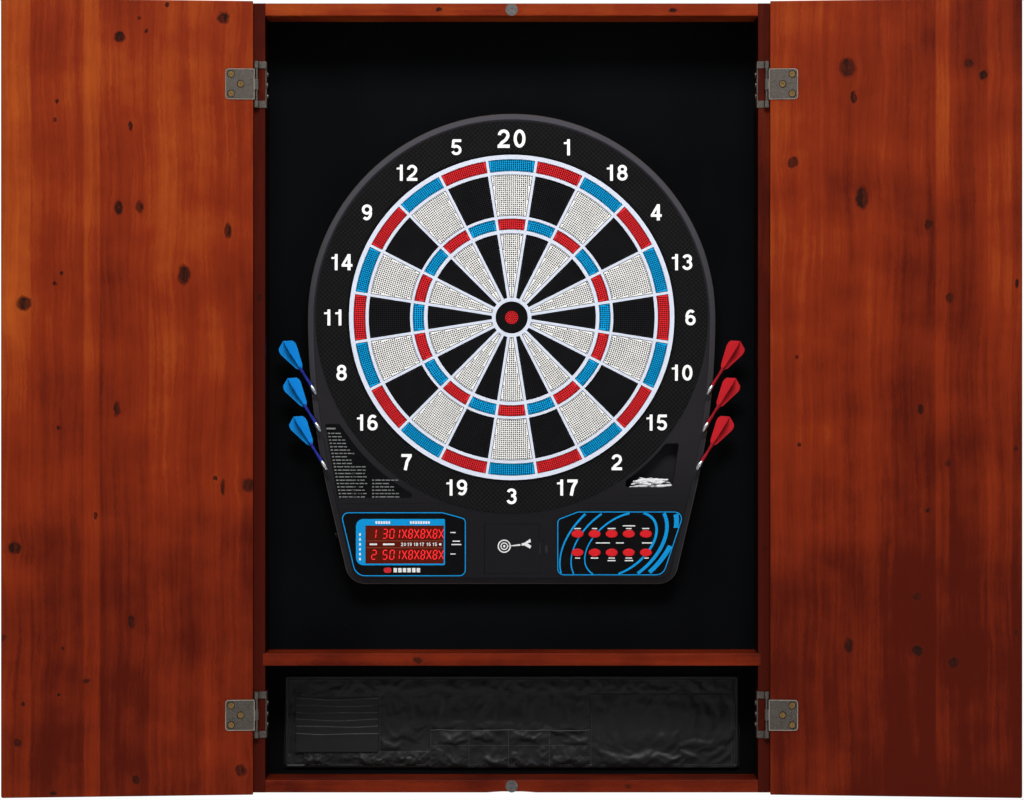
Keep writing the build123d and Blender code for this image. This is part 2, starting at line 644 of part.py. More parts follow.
with BuildPart() as spider:
    with BuildSketch(front(WEB_BACK)):
        with Locations((0, BOARD_Z)):
            Circle(WEB_R)
            for inner, outer in (DOUBLE, OUTER_SINGLE, TRIPLE, INNER_SINGLE):
                Circle(outer, mode=Mode.SUBTRACT)
                Circle(inner)
            Circle(BULL_R, mode=Mode.SUBTRACT)
            with PolarLocations((BULL_R + WEB_R) / 2, 20, start_angle=SECTOR / 2):
                Rectangle(WEB_R - BULL_R - 5.0, WEB_T)
    extrude(amount=WEB_FRONT - WEB_BACK)
    with BuildSketch(front(CASE_FRONT - FACE_T - 4.5)):
        with Locations((0, BOARD_Z)):
            Circle(WEB_FLANGE_R)
            Circle(WEB_R - 1.0, mode=Mode.SUBTRACT)
    extrude(amount=4.5)
save(spider, "spider")


def cell(ring):
    """One segment's outline, centred on +X and clear of the web all round."""
    inner = ring[0] + CELL_PLAY
    outer = ring[1] - CELL_PLAY
    side_gap = WEB_T / 2 + CELL_PLAY
    inner_a = radians(SECTOR / 2) - asin(side_gap / inner)
    outer_a = radians(SECTOR / 2) - asin(side_gap / outer)
    corners = [
        (inner * cos(inner_a), -inner * sin(inner_a)),
        (outer * cos(outer_a), -outer * sin(outer_a)),
        (outer * cos(outer_a), outer * sin(outer_a)),
        (inner * cos(inner_a), inner * sin(inner_a)),
    ]
    with BuildSketch() as outline:
        with BuildLine():
            Line(corners[0], corners[1])
            ThreePointArc(corners[1], (outer, 0), corners[2])
            Line(corners[2], corners[3])
            ThreePointArc(corners[3], (inner, 0), corners[0])
        make_face()
    return outline.sketch


# The twenty at the top starts the even sectors. Even sectors are white with a red triple and a
# blue double, odd ones black with a blue triple and a red double.
EVEN = 90.0
ODD = 90.0 + SECTOR
SEGMENTS = {
    "white_segments": ((INNER_SINGLE, EVEN), (OUTER_SINGLE, EVEN)),
    "black_segments": ((INNER_SINGLE, ODD), (OUTER_SINGLE, ODD)),
    "red_segments": ((TRIPLE, EVEN), (DOUBLE, ODD)),
    "blue_segments": ((TRIPLE, ODD), (DOUBLE, EVEN)),
}
for name, rings in SEGMENTS.items():
    outlines = [(cell(ring), start) for ring, start in rings]
    with BuildPart() as segments:
        with BuildSketch(front(SEGMENT_BACK)):
            for outline, start in outlines:
                with Locations((0, BOARD_Z)):
                    with PolarLocations(0, 10, start_angle=start):
                        add(outline)
        extrude(amount=SEGMENT_FRONT - SEGMENT_BACK)
        chamfer(segments.faces().group_by(Axis.Y)[0].edges(), 0.4)
    save(segments, name)

with BuildPart() as bull_outer:
    with BuildSketch(front(SEGMENT_BACK)):
        with Locations((0, BOARD_Z)):
            Circle(BULL_R - CELL_PLAY)
            Circle(BULL_EYE_R + CELL_PLAY, mode=Mode.SUBTRACT)
    extrude(amount=SEGMENT_FRONT - SEGMENT_BACK)
    chamfer(bull_outer.faces().sort_by(Axis.Y)[0].edges(), 0.4)
save(bull_outer, "bull_outer")

with BuildPart() as bull_inner:
    with BuildSketch(front(SEGMENT_BACK)):
        with Locations((0, BOARD_Z)):
            Circle(BULL_EYE_R)
    extrude(amount=SEGMENT_FRONT - SEGMENT_BACK)
    chamfer(bull_inner.faces().sort_by(Axis.Y)[0].edges(), 0.4)
save(bull_inner, "bull_inner")

with BuildPart() as sensor_membrane:
    with BuildSketch(front(WEB_BACK - MEMBRANE_T)):
        with Locations((0, BOARD_Z)):
            Circle(MEMBRANE_R)
    extrude(amount=MEMBRANE_T)
save(sensor_membrane, "sensor_membrane")


# ================= electronics and labels =================

with BuildPart() as circuit_boards:
    with BuildSketch(front(DISPLAY_BOARD_FRONT - CIRCUIT_T)):
        with Locations((WINDOW_X, WINDOW_Z - 0.5)):
            Rectangle(112.0, 64.0)
    extrude(amount=CIRCUIT_T)
    with BuildSketch(front(BUTTON_BOARD_FRONT - CIRCUIT_T)):
        with Locations((BUTTON_X, sum(BUTTON_ZS) / 2 + 0.6)):
            Rectangle(120.0, 62.0)
    extrude(amount=CIRCUIT_T)
save(circuit_boards, "circuit_boards")

with BuildPart() as score_display:
    with BuildSketch(front(DISPLAY_BOARD_FRONT)):
        with Locations((WINDOW_X, WINDOW_Z)):
            Rectangle(WINDOW_W + 3.0, WINDOW_H + 3.0)
    extrude(amount=CASE_FRONT - FACE_T - DISPLAY_BOARD_FRONT)
save(score_display, "score_display")

with BuildPart() as display_window:
    with BuildSketch(front(CASE_FRONT - FACE_T)):
        with Locations((WINDOW_X, WINDOW_Z)):
            RectangleRounded(WINDOW_W - 0.2, WINDOW_H - 0.2, 1.0)
    extrude(amount=FACE_T - LABEL_T)
save(display_window, "display_window")

with BuildPart() as games_label:
    with BuildSketch(front(CASE_FRONT - LABEL_T)):
        add(games_shape)
    extrude(amount=LABEL_T)
save(games_label, "games_label")

with BuildPart() as display_label:
    with BuildSketch(front(CASE_FRONT - LABEL_T)):
        add(display_shape)
        with Locations((WINDOW_X, WINDOW_Z)):
            RectangleRounded(WINDOW_W, WINDOW_H, 1.0, mode=Mode.SUBTRACT)
    extrude(amount=LABEL_T)
save(display_label, "display_label")

with BuildPart() as control_label:
    with BuildSketch(front(CASE_FRONT - LABEL_T)):
        add(control_shape)
        with Locations(*BUTTON_SPOTS):
            Ellipse(BUTTON_W / 2 + BUTTON_PLAY, BUTTON_H / 2 + BUTTON_PLAY, mode=Mode.SUBTRACT)
    extrude(amount=LABEL_T)
save(control_label, "control_label")

FLANGE_T = 1.4
FLANGE_FRONT = CASE_FRONT - FACE_T - 0.1
STEM_TRAVEL_ROOM = 1.5
for row_name, button_z in zip(("upper", "lower"), BUTTON_ZS):
    for number, button_x in enumerate(BUTTON_XS, start=1):
        with BuildPart() as button:
            with BuildSketch(front(FLANGE_FRONT)):
                with Locations((button_x, button_z)):
                    Ellipse(BUTTON_W / 2, BUTTON_H / 2)
            extrude(amount=BUTTON_FRONT - FLANGE_FRONT)
            fillet(button.faces().sort_by(Axis.Y)[0].edges(), 0.9)
            with BuildSketch(front(FLANGE_FRONT - FLANGE_T)):
                with Locations((button_x, button_z)):
                    Ellipse(BUTTON_W / 2 + 1.6, BUTTON_H / 2 + 1.6)
            extrude(amount=FLANGE_T)
            with BuildSketch(front(BUTTON_BOARD_FRONT + STEM_TRAVEL_ROOM)):
                with Locations((button_x, button_z)):
                    Circle(1.8)
            extrude(amount=FLANGE_FRONT - BUTTON_BOARD_FRONT - STEM_TRAVEL_ROOM)
        save(button, f"button_{row_name}_{number}")

with BuildPart() as storage_lid:
    with BuildSketch(front(CASE_FRONT - LID_T)):
        with Locations((0, LID_Z)):
            Rectangle(LID_W, LID_H)
        with Locations(((LID_W + TAB_W) / 2, LID_Z)):
            Rectangle(TAB_W, TAB_H)
    extrude(amount=LID_T)
    hinge_side = storage_lid.edges().filter_by(Axis.Z).group_by(Axis.X)[0]
    fillet(hinge_side, LID_T / 2 - 0.02)
    with BuildSketch(front(CASE_FRONT - 1.0)):
        with Locations((LID_W / 2 + 1.0, LID_Z)):
            Rectangle(1.6, TAB_H - 6.0)
    extrude(amount=1.0, mode=Mode.SUBTRACT)
    with Locations(((LID_T - LID_W) / 2, LID_T / 2 - CASE_FRONT, LID_Z)):
        Cylinder(LID_PIN_R, LID_H + 4.4)
save(storage_lid, "storage_lid")

with BuildPart(inlet_plane()) as power_inlet:
    with Locations((0, 0, 3.6)):
        Cylinder(INLET_R, 13.0, align=(Align.CENTER, Align.CENTER, Align.MAX))
        Cylinder(2.9, 10.0, align=(Align.CENTER, Align.CENTER, Align.MAX), mode=Mode.SUBTRACT)
        with Locations((0, 0, -2.0)):
            Cylinder(1.0, 9.0, align=(Align.CENTER, Align.CENTER, Align.MAX))
save(power_inlet, "power_inlet")


# ================= darts, tips and organizer =================

TIP_L = 25.0
BARREL_L = 51.0
BARREL_OUT = 11.5  # barrel's length outside the casing
SHAFT_L = 22.3
FLIGHT_L = 41.0
FIN_T = 0.5
FIN_OUTLINE = ((0.0, 0.0), (1.5, 0.0), (4.6, 4.5), (11.2, 28.5), (11.1, 32.5), (9.6, 35.8), (0.0, FLIGHT_L))
fin_half = [(r, s + BARREL_OUT + SHAFT_L) for r, s in FIN_OUTLINE]

for side_name, side in (("left", -1), ("right", 1)):
    for row_name, entry_x, entry_z in DART_ENTRIES:
        axis_plane = dart_plane(side, entry_x, entry_z)
        fin_plane = Plane(origin=axis_plane.origin, x_dir=axis_plane.x_dir, z_dir=-axis_plane.y_dir)
        cross_plane = Plane(origin=axis_plane.origin, x_dir=axis_plane.y_dir, z_dir=axis_plane.x_dir)
        with BuildPart() as flight:
            for plane in (fin_plane, cross_plane):
                with BuildSketch(plane):
                    with BuildLine():
                        Polyline(*fin_half)
                        mirror(about=Plane.YZ)
                        Line((-1.5, fin_half[0][1]), (1.5, fin_half[0][1]))
                    make_face()
                extrude(amount=FIN_T / 2, both=True)
        with BuildPart(axis_plane) as shaft:
            with Locations((0, 0, BARREL_OUT)):
                Cone(2.3, 1.3, SHAFT_L, align=(Align.CENTER, Align.CENTER, Align.MIN))
        with BuildPart(axis_plane) as barrel:
            with Locations((0, 0, BARREL_OUT)):
                Cylinder(BARREL_R, BARREL_L, align=(Align.CENTER, Align.CENTER, Align.MAX))
            fillet(barrel.edges(), 0.7)
        with BuildPart(axis_plane) as tip:
            with Locations((0, 0, BARREL_OUT - BARREL_L)):
                Cone(0.5, 1.9, TIP_L, align=(Align.CENTER, Align.CENTER, Align.MAX))
        dart = Compound(children=[flight.part, shaft.part, barrel.part, tip.part])
        dart.label = f"dart_{side_name}_{row_name}"
        export_step(dart, f"parts/{dart.label}.step")

TIP_LENGTH = 22.0
TIP_ROW_PITCH = 4.8
TIP_LAYER_SHIFTS = (0.0, 0.0, 2.5, 7.2)  # clear of the bin's curved roof
with BuildPart() as spare_tips:
    for layer, layer_shift in enumerate(TIP_LAYER_SHIFTS):
        for row in range(3):
            for column in range(2):
                place = (
                    151.7 + 24.0 * column + 1.5 * (row % 2) + layer_shift,
                    -BIN_BACK - 2.6 - TIP_ROW_PITCH * row,
                    BIN_FLOOR - BIN_LIP + 2.5 + TIP_ROW_PITCH * layer,
                )
                with Locations(Location(place, (0, 90, 0))):
                    Cone(2.1, 1.2, TIP_LENGTH)
save(spare_tips, "spare_tips")

ORGANIZER_W = 555.0
ORGANIZER_H = 113.0
ORGANIZER_Z = -394.5
ORGANIZER_T = 4.0
POCKET_T = 9.0
with BuildPart() as organizer:
    with BuildSketch(front(PANEL_FACE)):
        with Locations((0, ORGANIZER_Z)):
            RectangleRounded(ORGANIZER_W, ORGANIZER_H, 5.0)
    extrude(amount=ORGANIZER_T)
    with BuildSketch(front(PANEL_FACE + ORGANIZER_T)):
        with Locations((0, ORGANIZER_Z - 4.0)):
            Rectangle(ORGANIZER_W - 22.0, ORGANIZER_H - 22.0)
    extrude(amount=POCKET_T)
    fillet(organizer.faces().sort_by(Axis.Y)[0].edges(), 4.0)
save(organizer, "organizer")
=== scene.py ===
"""Looks of the dart board cabinet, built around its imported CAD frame.

Shapes are worked out in millimetres and turned into metres when a piece is made. The origin is the
centre of the cabinet's back on the wall, with +X right, +Z up and the front facing -Y. A depth is a
distance out from the wall.
"""
import math
import random

import bmesh
import bpy
from mathutils import Matrix, Vector, noise
from mathutils.geometry import delaunay_2d_cdt


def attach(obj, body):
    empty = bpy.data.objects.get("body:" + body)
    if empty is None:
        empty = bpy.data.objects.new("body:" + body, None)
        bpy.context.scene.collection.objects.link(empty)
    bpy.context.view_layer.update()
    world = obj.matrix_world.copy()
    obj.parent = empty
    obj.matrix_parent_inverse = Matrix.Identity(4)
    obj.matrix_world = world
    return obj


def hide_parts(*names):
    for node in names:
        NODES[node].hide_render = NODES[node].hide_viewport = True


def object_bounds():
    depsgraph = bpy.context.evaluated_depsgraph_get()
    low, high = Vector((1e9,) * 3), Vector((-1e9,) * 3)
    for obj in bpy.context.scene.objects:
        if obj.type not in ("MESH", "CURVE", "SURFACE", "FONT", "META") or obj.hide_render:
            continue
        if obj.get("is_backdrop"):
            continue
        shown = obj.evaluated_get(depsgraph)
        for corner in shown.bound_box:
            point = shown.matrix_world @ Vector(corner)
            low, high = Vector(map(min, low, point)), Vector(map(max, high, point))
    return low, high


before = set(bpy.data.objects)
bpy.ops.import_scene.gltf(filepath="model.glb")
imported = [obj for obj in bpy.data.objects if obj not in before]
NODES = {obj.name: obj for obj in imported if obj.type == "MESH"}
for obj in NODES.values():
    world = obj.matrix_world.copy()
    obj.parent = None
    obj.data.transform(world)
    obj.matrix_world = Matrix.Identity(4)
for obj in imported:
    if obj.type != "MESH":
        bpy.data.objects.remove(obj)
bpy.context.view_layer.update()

MM = 0.001

# ---- the frame's sizes that pieces are built to ----
BOARD_Z = 97.5
RING_FRONT = 58.4
RING_R = (197.0, 237.5)
CASE_FRONT = 58.0
SEGMENT_FRONT, SEGMENT_BACK = 57.8, 46.0
SECTOR = 18.0
WEB_T = 3.2
CELL_PLAY = 0.4
DOUBLE = (177.0, 191.7)
OUTER_SINGLE = (123.1, 173.2)
TRIPLE = (106.3, 119.9)
INNER_SINGLE = (24.0, 102.0)
BULL_R = 19.1
BULL_EYE_R = 8.1


# ================= shapes =================

class Shape:
    """The points, in millimetres, and the faces of one piece."""

    def __init__(self):
        self.points = []
        self.faces = []

    def add(self, points, faces):
        start = len(self.points)
        self.points += points
        self.faces += [[start + i for i in face] for face in faces]

    def loops(self, loops, closed=True, cap_start=False, cap_end=False):
        """Joins point loops of equal length one to the next."""
        count = len(loops[0])
        last = count if closed else count - 1
        faces = []
        for k in range(len(loops) - 1):
            for i in range(last):
                j = (i + 1) % count
                faces.append([k * count + i, k * count + j, (k + 1) * count + j, (k + 1) * count + i])
        if cap_start:
            faces.append(list(range(count)))
        if cap_end:
            faces.append([(len(loops) - 1) * count + i for i in range(count)])
        self.add([p for loop in loops for p in loop], faces)

    def prism(self, outline, back, front):
        """A flat printed or moulded shape between two depths."""
        self.loops([flat(outline, back), flat(outline, front)], cap_start=True, cap_end=True)

    def band(self, outer, inner, back, front):
        """A prism with a hole, between two outlines of as many points."""
        rings = [flat(outer, back), flat(outer, front), flat(inner, front), flat(inner, back)]
        self.loops(rings + rings[:1])

    def bar(self, x, z, width, height, back, front):
        self.prism(rectangle(x, z, width, height), back, front)

    def piece(self, name, body, slot, material, stands_for=(), smooth=None, place=None):
        mesh = bpy.data.meshes.new(name)
        mesh.from_pydata([tuple(c * MM for c in p) for p in self.points], [], self.faces)
        work = bmesh.new()
        work.from_mesh(mesh)
        bmesh.ops.remove_doubles(work, verts=work.verts, dist=1e-7)
        bmesh.ops.recalc_face_normals(work, faces=work.faces)
        work.to_mesh(mesh)
        work.free()
        if place is not None:
            mesh.transform(place)
        mesh.materials.append(material)
        if smooth is not None:
            mesh.shade_smooth()
            mesh.set_sharp_from_angle(angle=math.radians(smooth))
        piece = bpy.data.objects.new(name, mesh)
        bpy.context.scene.collection.objects.link(piece)
        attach(piece, body)
        if stands_for:
            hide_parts(*stands_for)
        return piece


def flat(outline, depth):
    return [(x, -depth, z) for x, z in outline]


def rectangle(x, z, width, height):
    w, h = width / 2, height / 2
    return [(x - w, z - h), (x + w, z - h), (x + w, z + h), (x - w, z + h)]


def circle(x, z, radius, count=96):
    turns = [2 * math.pi * i / count for i in range(count)]
    return [(x + radius * math.cos(t), z + radius * math.sin(t)) for t in turns]


def rounded(corners, inset=0.0, steps=6):
    """A polygon's outline moved in by inset, from its corners as (x, z, radius)."""
    radii = [corner[2] for corner in corners]
    corners = [corner[:2] for corner in corners]
    count = len(corners)
    area = sum(corners[i - 1][0] * corners[i][1] - corners[i][0] * corners[i - 1][1] for i in range(count))
    side = 1.0 if area > 0 else -1.0
    lines = []
    for i in range(count):
        a, b = Vector(corners[i]), Vector(corners[(i + 1) % count])
        along = (b - a).normalized()
        lines.append((a + inset * side * Vector((-along.y, along.x)), along))
    outline = []
    for i in range(count):
        (p, u), (q, v) = lines[i - 1], lines[i]
        cross = u.x * v.y - u.y * v.x
        t = ((q - p).x * v.y - (q - p).y * v.x) / cross
        corner = p + u * t
        turn = math.acos(max(-1.0, min(1.0, u.dot(v))))
        bend = max(radii[i] - inset, 0.2)
        reach = bend * math.tan(turn / 2)
        centre = corner - u * reach + (1.0 if cross > 0 else -1.0) * bend * Vector((-u.y, u.x))
        start = corner - u * reach - centre
        for k in range(steps + 1):
            a = turn * k / steps * (1.0 if cross > 0 else -1.0)
            spun = Matrix.Rotation(a, 2) @ start
            outline.append((centre.x + spun.x, centre.y + spun.y))
    return outline


def inside(outline, x, z):
    hit = False
    for (x0, z0), (x1, z1) in zip(outline, outline[1:] + outline[:1]):
        if (z0 > z) != (z1 > z) and x < (x1 - x0) * (z - z0) / (z1 - z0) + x0:
            hit = not hit
    return hit


def plate(shape, polygons, back, front):
    """Adds a flat shape that is the union of polygons, between two depths."""
    places, faces = [], []
    for polygon in polygons:
        faces.append(list(range(len(places), len(places) + len(polygon))))
        places += [Vector(p) for p in polygon]
    places, _, triangles, _, _, sources = delaunay_2d_cdt(places, [], faces, 1, 1e-5)
    kept = [list(t) for t, source in zip(triangles, sources) if source]
    count = len(places)
    uses = {}
    for t in kept:
        for i in range(3):
            a, b = t[i], t[(i + 1) % 3]
            uses.setdefault((min(a, b), max(a, b)), []).append((a, b))
    solid = [list(t) for t in kept] + [[i + count for i in reversed(t)] for t in kept]
    for sides in uses.values():
        if len(sides) == 1:
            a, b = sides[0]
            solid.append([b, a, a + count, b + count])
    shape.add([(p.x, -front, p.y) for p in places] + [(p.x, -back, p.y) for p in places], solid)


def ribbon(path, width, closed=False):
    """A path thickened into quads with mitred corners."""
    count = len(path)
    sides = []
    for i in range(count):
        before = path[i - 1] if closed or i else path[i]
        after = path[(i + 1) % count] if closed or i < count - 1 else path[i]
        here = Vector(path[i])
        u = (here - Vector(before)).normalized() if before != path[i] else None
        v = (Vector(after) - here).normalized() if after != path[i] else None
        u, v = u or v, v or u
        mid = (Vector((-u.y, u.x)) + Vector((-v.y, v.x))).normalized()
        reach = width / 2 / max(0.5, mid.dot(Vector((-u.y, u.x))))
        sides.append((here + mid * reach, here - mid * reach))
    pairs = list(zip(sides, sides[1:])) + ([(sides[-1], sides[0])] if closed else [])
    return [[tuple(a[0]), tuple(a[1]), tuple(b[1]), tuple(b[0])] for a, b in pairs]


def arc(x, z, rx, rz, start, end, steps=18):
    turns = [math.radians(start + (end - start) * i / steps) for i in range(steps + 1)]
    return [(x + rx * math.cos(t), z + rz * math.sin(t)) for t in turns]


# A digit is 1 high: its strokes as (path, width, closed), and its whole width.
STEM = 0.168
SIX = [(arc(0, -0.17, 0.235, 0.235, 0, 342, 24), STEM, True),
       (arc(0.02, 0.0, 0.255, 0.405, 180, 50), STEM, False)]
DIGITS = {
    "0": ([(arc(0, 0, 0.235, 0.405, 0, 345, 28), STEM, True)], 0.67),
    "1": ([([(0.1, -0.5), (0.1, 0.5)], 0.175, False), ([(-0.19, 0.255), (0.06, 0.27)], 0.12, False),
           ([(-0.02, 0.27), (0.07, 0.36), (0.09, 0.47)], 0.1, False)], 0.5),
    "2": ([(arc(0, 0.18, 0.23, 0.225, 178, -25) + [(0.12, -0.06), (-0.12, -0.24), (-0.23, -0.42)], STEM,
            False), ([(-0.325, -0.41), (0.325, -0.41)], 0.18, False)], 0.66),
    "3": ([(arc(-0.01, 0.215, 0.21, 0.19, 165, -95), STEM, False),
           (arc(-0.01, -0.18, 0.235, 0.225, 95, -165), STEM, False)], 0.66),
    "4": ([([(0.12, -0.5), (0.12, 0.5)], 0.19, False), ([(-0.34, -0.2), (0.33, -0.2)], 0.16, False),
           ([(0.09, 0.43), (-0.27, -0.18)], 0.15, False)], 0.68),
    "5": ([([(-0.22, 0.415), (0.3, 0.415)], 0.17, False), ([(-0.17, 0.45), (-0.23, -0.02)], 0.16, False),
           (arc(-0.01, -0.165, 0.24, 0.235, 135, -160), STEM, False)], 0.66),
    "6": (SIX, 0.67),
    "7": ([([(-0.32, 0.41), (0.32, 0.41)], 0.18, False),
           ([(0.25, 0.42), (0.03, 0.02), (-0.08, -0.5)], 0.19, False)], 0.66),
    "8": ([(arc(0, 0.22, 0.2, 0.185, 0, 340, 20), STEM, True),
           (arc(0, -0.185, 0.24, 0.22, 0, 342, 22), STEM, True)], 0.67),
    "9": ([([(-x, -z) for x, z in path], width, closed) for path, width, closed in SIX], 0.67),
}
DIGIT_GAP = 0.19


def write(shape, text, x, z, height, back, front):
    """Adds digits, centred on a point and of a given height."""
    total = sum(DIGITS[c][1] for c in text) + DIGIT_GAP * (len(text) - 1)
    start = -total / 2
    polygons = []
    for c in text:
        strokes, width = DIGITS[c]
        middle = start + width / 2
        for path, thick, closed in strokes:
            for quad in ribbon(path, thick, closed):
                polygons.append([(x + height * (middle + u), z + height * v) for u, v in quad])
        start += width + DIGIT_GAP
    plate(shape, polygons, back, front)


# ================= materials =================

class Shader:
    """A node material, built one node at a time."""

    def __init__(self, name, **finish):
        self.material = bpy.data.materials.new(name)
        self.material.use_nodes = True
        self.tree = self.material.node_tree
        self.shader = self.tree.nodes["Principled BSDF"]
        for key, value in finish.items():
            self.shader.inputs[key.replace("_", " ")].default_value = value

    def node(self, kind, inputs=None, out=0, **settings):
        made = self.tree.nodes.new("ShaderNode" + kind)
        for key, value in settings.items():
            setattr(made, key, value)
        for key, value in (inputs or {}).items():
            if isinstance(value, bpy.types.NodeSocket):
                self.tree.links.new(value, made.inputs[key])
            else:
                made.inputs[key].default_value = value
        return made.outputs[out]

    def math(self, operation, a, b=0.0, c=0.0):
        return self.node("Math", {0: a, 1: b, 2: c}, operation=operation)

    def vector(self, operation, a, b=(0.0, 0.0, 0.0), c=(0.0, 0.0, 0.0), out=0):
        return self.node("VectorMath", {0: a, 1: b, 2: c}, out, operation=operation)

    def place(self, scale=(1.0, 1.0, 1.0)):
        """Where a point is, in millimetres times scale."""
        here = self.node("TexCoord", out="Object")
        return self.vector("MULTIPLY", here, tuple(1000.0 * s for s in scale))

    def axis(self, where, number):
        """One coordinate of a place: 0 for X, 1 for Y, 2 for Z."""
        return self.node("SeparateXYZ", {0: where}, number)

    def noise(self, where, scale, detail=2.0, roughness=0.5, distortion=0.0):
        inputs = {"Vector": where, "Scale": scale, "Detail": detail, "Roughness": roughness,
                  "Distortion": distortion}
        return self.node("TexNoise", inputs, "Fac")

    def ramp(self, factor, *stops):
        """Colours, or single values, at stops given as (position, colour)."""
        made = self.tree.nodes.new("ShaderNodeValToRGB")
        elements = made.color_ramp.elements
        while len(elements) < len(stops):
            elements.new(1.0)
        for element, (position, colour) in zip(elements, stops):
            element.position = position
            element.color = (*colour, 1.0) if len(colour) == 3 else (colour[0],) * 3 + (1.0,)
        self.tree.links.new(factor, made.inputs[0])
        return made.outputs[0]

    def span(self, value, low, high, to_low=0.0, to_high=1.0):
        inputs = {0: value, 1: low, 2: high, 3: to_low, 4: to_high}
        return self.node("MapRange", inputs, interpolation_type="SMOOTHSTEP")

    def mix(self, factor, a, b):
        inputs = {0: factor, 6: colour4(a), 7: colour4(b)}
        return self.node("Mix", inputs, 2, data_type="RGBA")

    def scaled(self, colour, factor):
        return self.node("VectorMath", {0: colour, 3: factor}, operation="SCALE")

    def colour(self, value):
        self.tree.links.new(value, self.shader.inputs["Base Color"])

    def rough(self, value):
        self.tree.links.new(value, self.shader.inputs["Roughness"])

    def bump(self, height, distance, strength=1.0):
        """Fine relief. The distance is in millimetres."""
        inputs = {"Height": height, "Strength": strength, "Distance": distance * MM}
        self.tree.links.new(self.node("Bump", inputs), self.shader.inputs["Normal"])


def colour4(value):
    return value if isinstance(value, bpy.types.NodeSocket) else (*value, 1.0)


def plastic(name, colour, roughness=0.4, speckle=0.08, pebble=0.02, pebble_size=0.45, **finish):
    """Moulded plastic: faint mottling, a pebbled skin and a gloss that varies a little."""
    s = Shader(name, **{"Specular_IOR_Level": 0.07, **finish})
    where = s.place()
    mottle = s.noise(where, 0.035, 3.0, 0.6)
    grain = s.noise(where, 1.0 / pebble_size, 2.0, 0.6)
    both = s.math("ADD", s.math("MULTIPLY", mottle, 0.6), s.math("MULTIPLY", grain, 0.4))
    low = tuple(c * (1 - speckle) for c in colour)
    high = tuple(min(1.0, c * (1 + speckle)) for c in colour)
    s.colour(s.ramp(both, (0.3, low), (0.7, high)))
    s.rough(s.span(both, 0.25, 0.75, roughness - 0.06, roughness + 0.08))
    s.bump(grain, pebble)
    return s.material


def casing_plastic(name):
    """The casing's pebbled charcoal plastic: darker low down, with a painted highlight on the sloped rim that
    is lighter towards the top, and a painted highlight line along the rim's outer edge.
    """
    s = Shader(name, Specular_IOR_Level=0.07)
    where = s.place()
    grain = s.noise(where, 2.2, 2.0, 0.6)
    height = s.axis(where, 2)
    low = s.span(height, -150.0, -40.0, 0.5, 1.0)
    face = s.scaled(s.ramp(grain, (0.3, (0.011, 0.010, 0.012)), (0.7, (0.0135, 0.0125, 0.0145))), low)
    out = s.math("MULTIPLY", s.axis(where, 1), -1.0)
    # Painted highlight across the bevel, fading towards the bottom.
    bevel_highlight = s.math("MULTIPLY", s.span(out, 50.9, 51.5), s.span(out, 57.6, 57.0))
    bevel_highlight = s.math("MULTIPLY", bevel_highlight, s.span(height, -130.0, 120.0, 0.25, 1.0))
    face = s.mix(bevel_highlight, face, (0.055, 0.053, 0.062))
    # Painted highlight line along the bevel's outer edge.
    edge_highlight = s.math("MULTIPLY", s.span(out, 49.6, 50.4), s.span(out, 51.7, 50.9))
    s.colour(s.mix(edge_highlight, face, (0.055, 0.047, 0.044)))
    s.rough(s.span(grain, 0.25, 0.75, 0.38, 0.5))
    s.bump(grain, 0.03)
    return s.material


def metal(name, colour, dark, roughness=0.35, patch=0.25, streak=(1.0, 1.0, 1.0), tarnish=0.5):
    """Metal with patches of tarnish and fine scratches."""
    s = Shader(name, Metallic=1.0)
    patches = s.noise(s.place(), patch, 5.0, 0.62)
    lines = s.noise(s.place(streak), 2.2, 3.0, 0.6)
    blend = s.math("ADD", s.math("MULTIPLY", patches, tarnish), s.math("MULTIPLY", lines, 1 - tarnish))
    s.colour(s.ramp(blend, (0.36, dark), (0.62, colour)))
    s.rough(s.span(blend, 0.3, 0.7, roughness + 0.2, roughness - 0.04))
    s.bump(blend, 0.05)
    return s.material


PINE_DARK = (0.052, 0.0042, 0.0012)
PINE_MID = (0.150, 0.0155, 0.0032)
PINE_LIGHT = (0.29, 0.056, 0.0075)


def knot_group():
    """One knot: it pushes the grain aside and adds its dark core."""
    tree = bpy.data.node_groups.new("knot", "ShaderNodeTree")
    for kind, direction, label in (
        ("NodeSocketVector", "INPUT", "Where"), ("NodeSocketVector", "INPUT", "Scale"),
        ("NodeSocketVector", "INPUT", "Offset"), ("NodeSocketVector", "INPUT", "Push"),
        ("NodeSocketFloat", "INPUT", "Core"),
        ("NodeSocketVector", "OUTPUT", "Where"), ("NodeSocketFloat", "OUTPUT", "Core"),
    ):
        tree.interface.new_socket(label, in_out=direction, socket_type=kind)
    maker = Shader.__new__(Shader)
    maker.tree = tree
    given = tree.nodes.new("NodeGroupInput").outputs
    local = maker.vector("MULTIPLY_ADD", given[0], given[1], given[2])
    reach = maker.vector("LENGTH", local, out="Value")
    fade = maker.math("DIVIDE", 1.0, maker.math("MULTIPLY_ADD", reach, reach, 0.6))
    aside = maker.scaled(maker.vector("MULTIPLY", local, given[3]), fade)
    core = maker.span(reach, 1.35, 0.7)
    result = tree.nodes.new("NodeGroupOutput")
    tree.links.new(maker.vector("SUBTRACT", given[0], aside), result.inputs[0])
    tree.links.new(maker.math("MAXIMUM", core, given[4]), result.inputs[1])
    return tree


KNOT = knot_group()


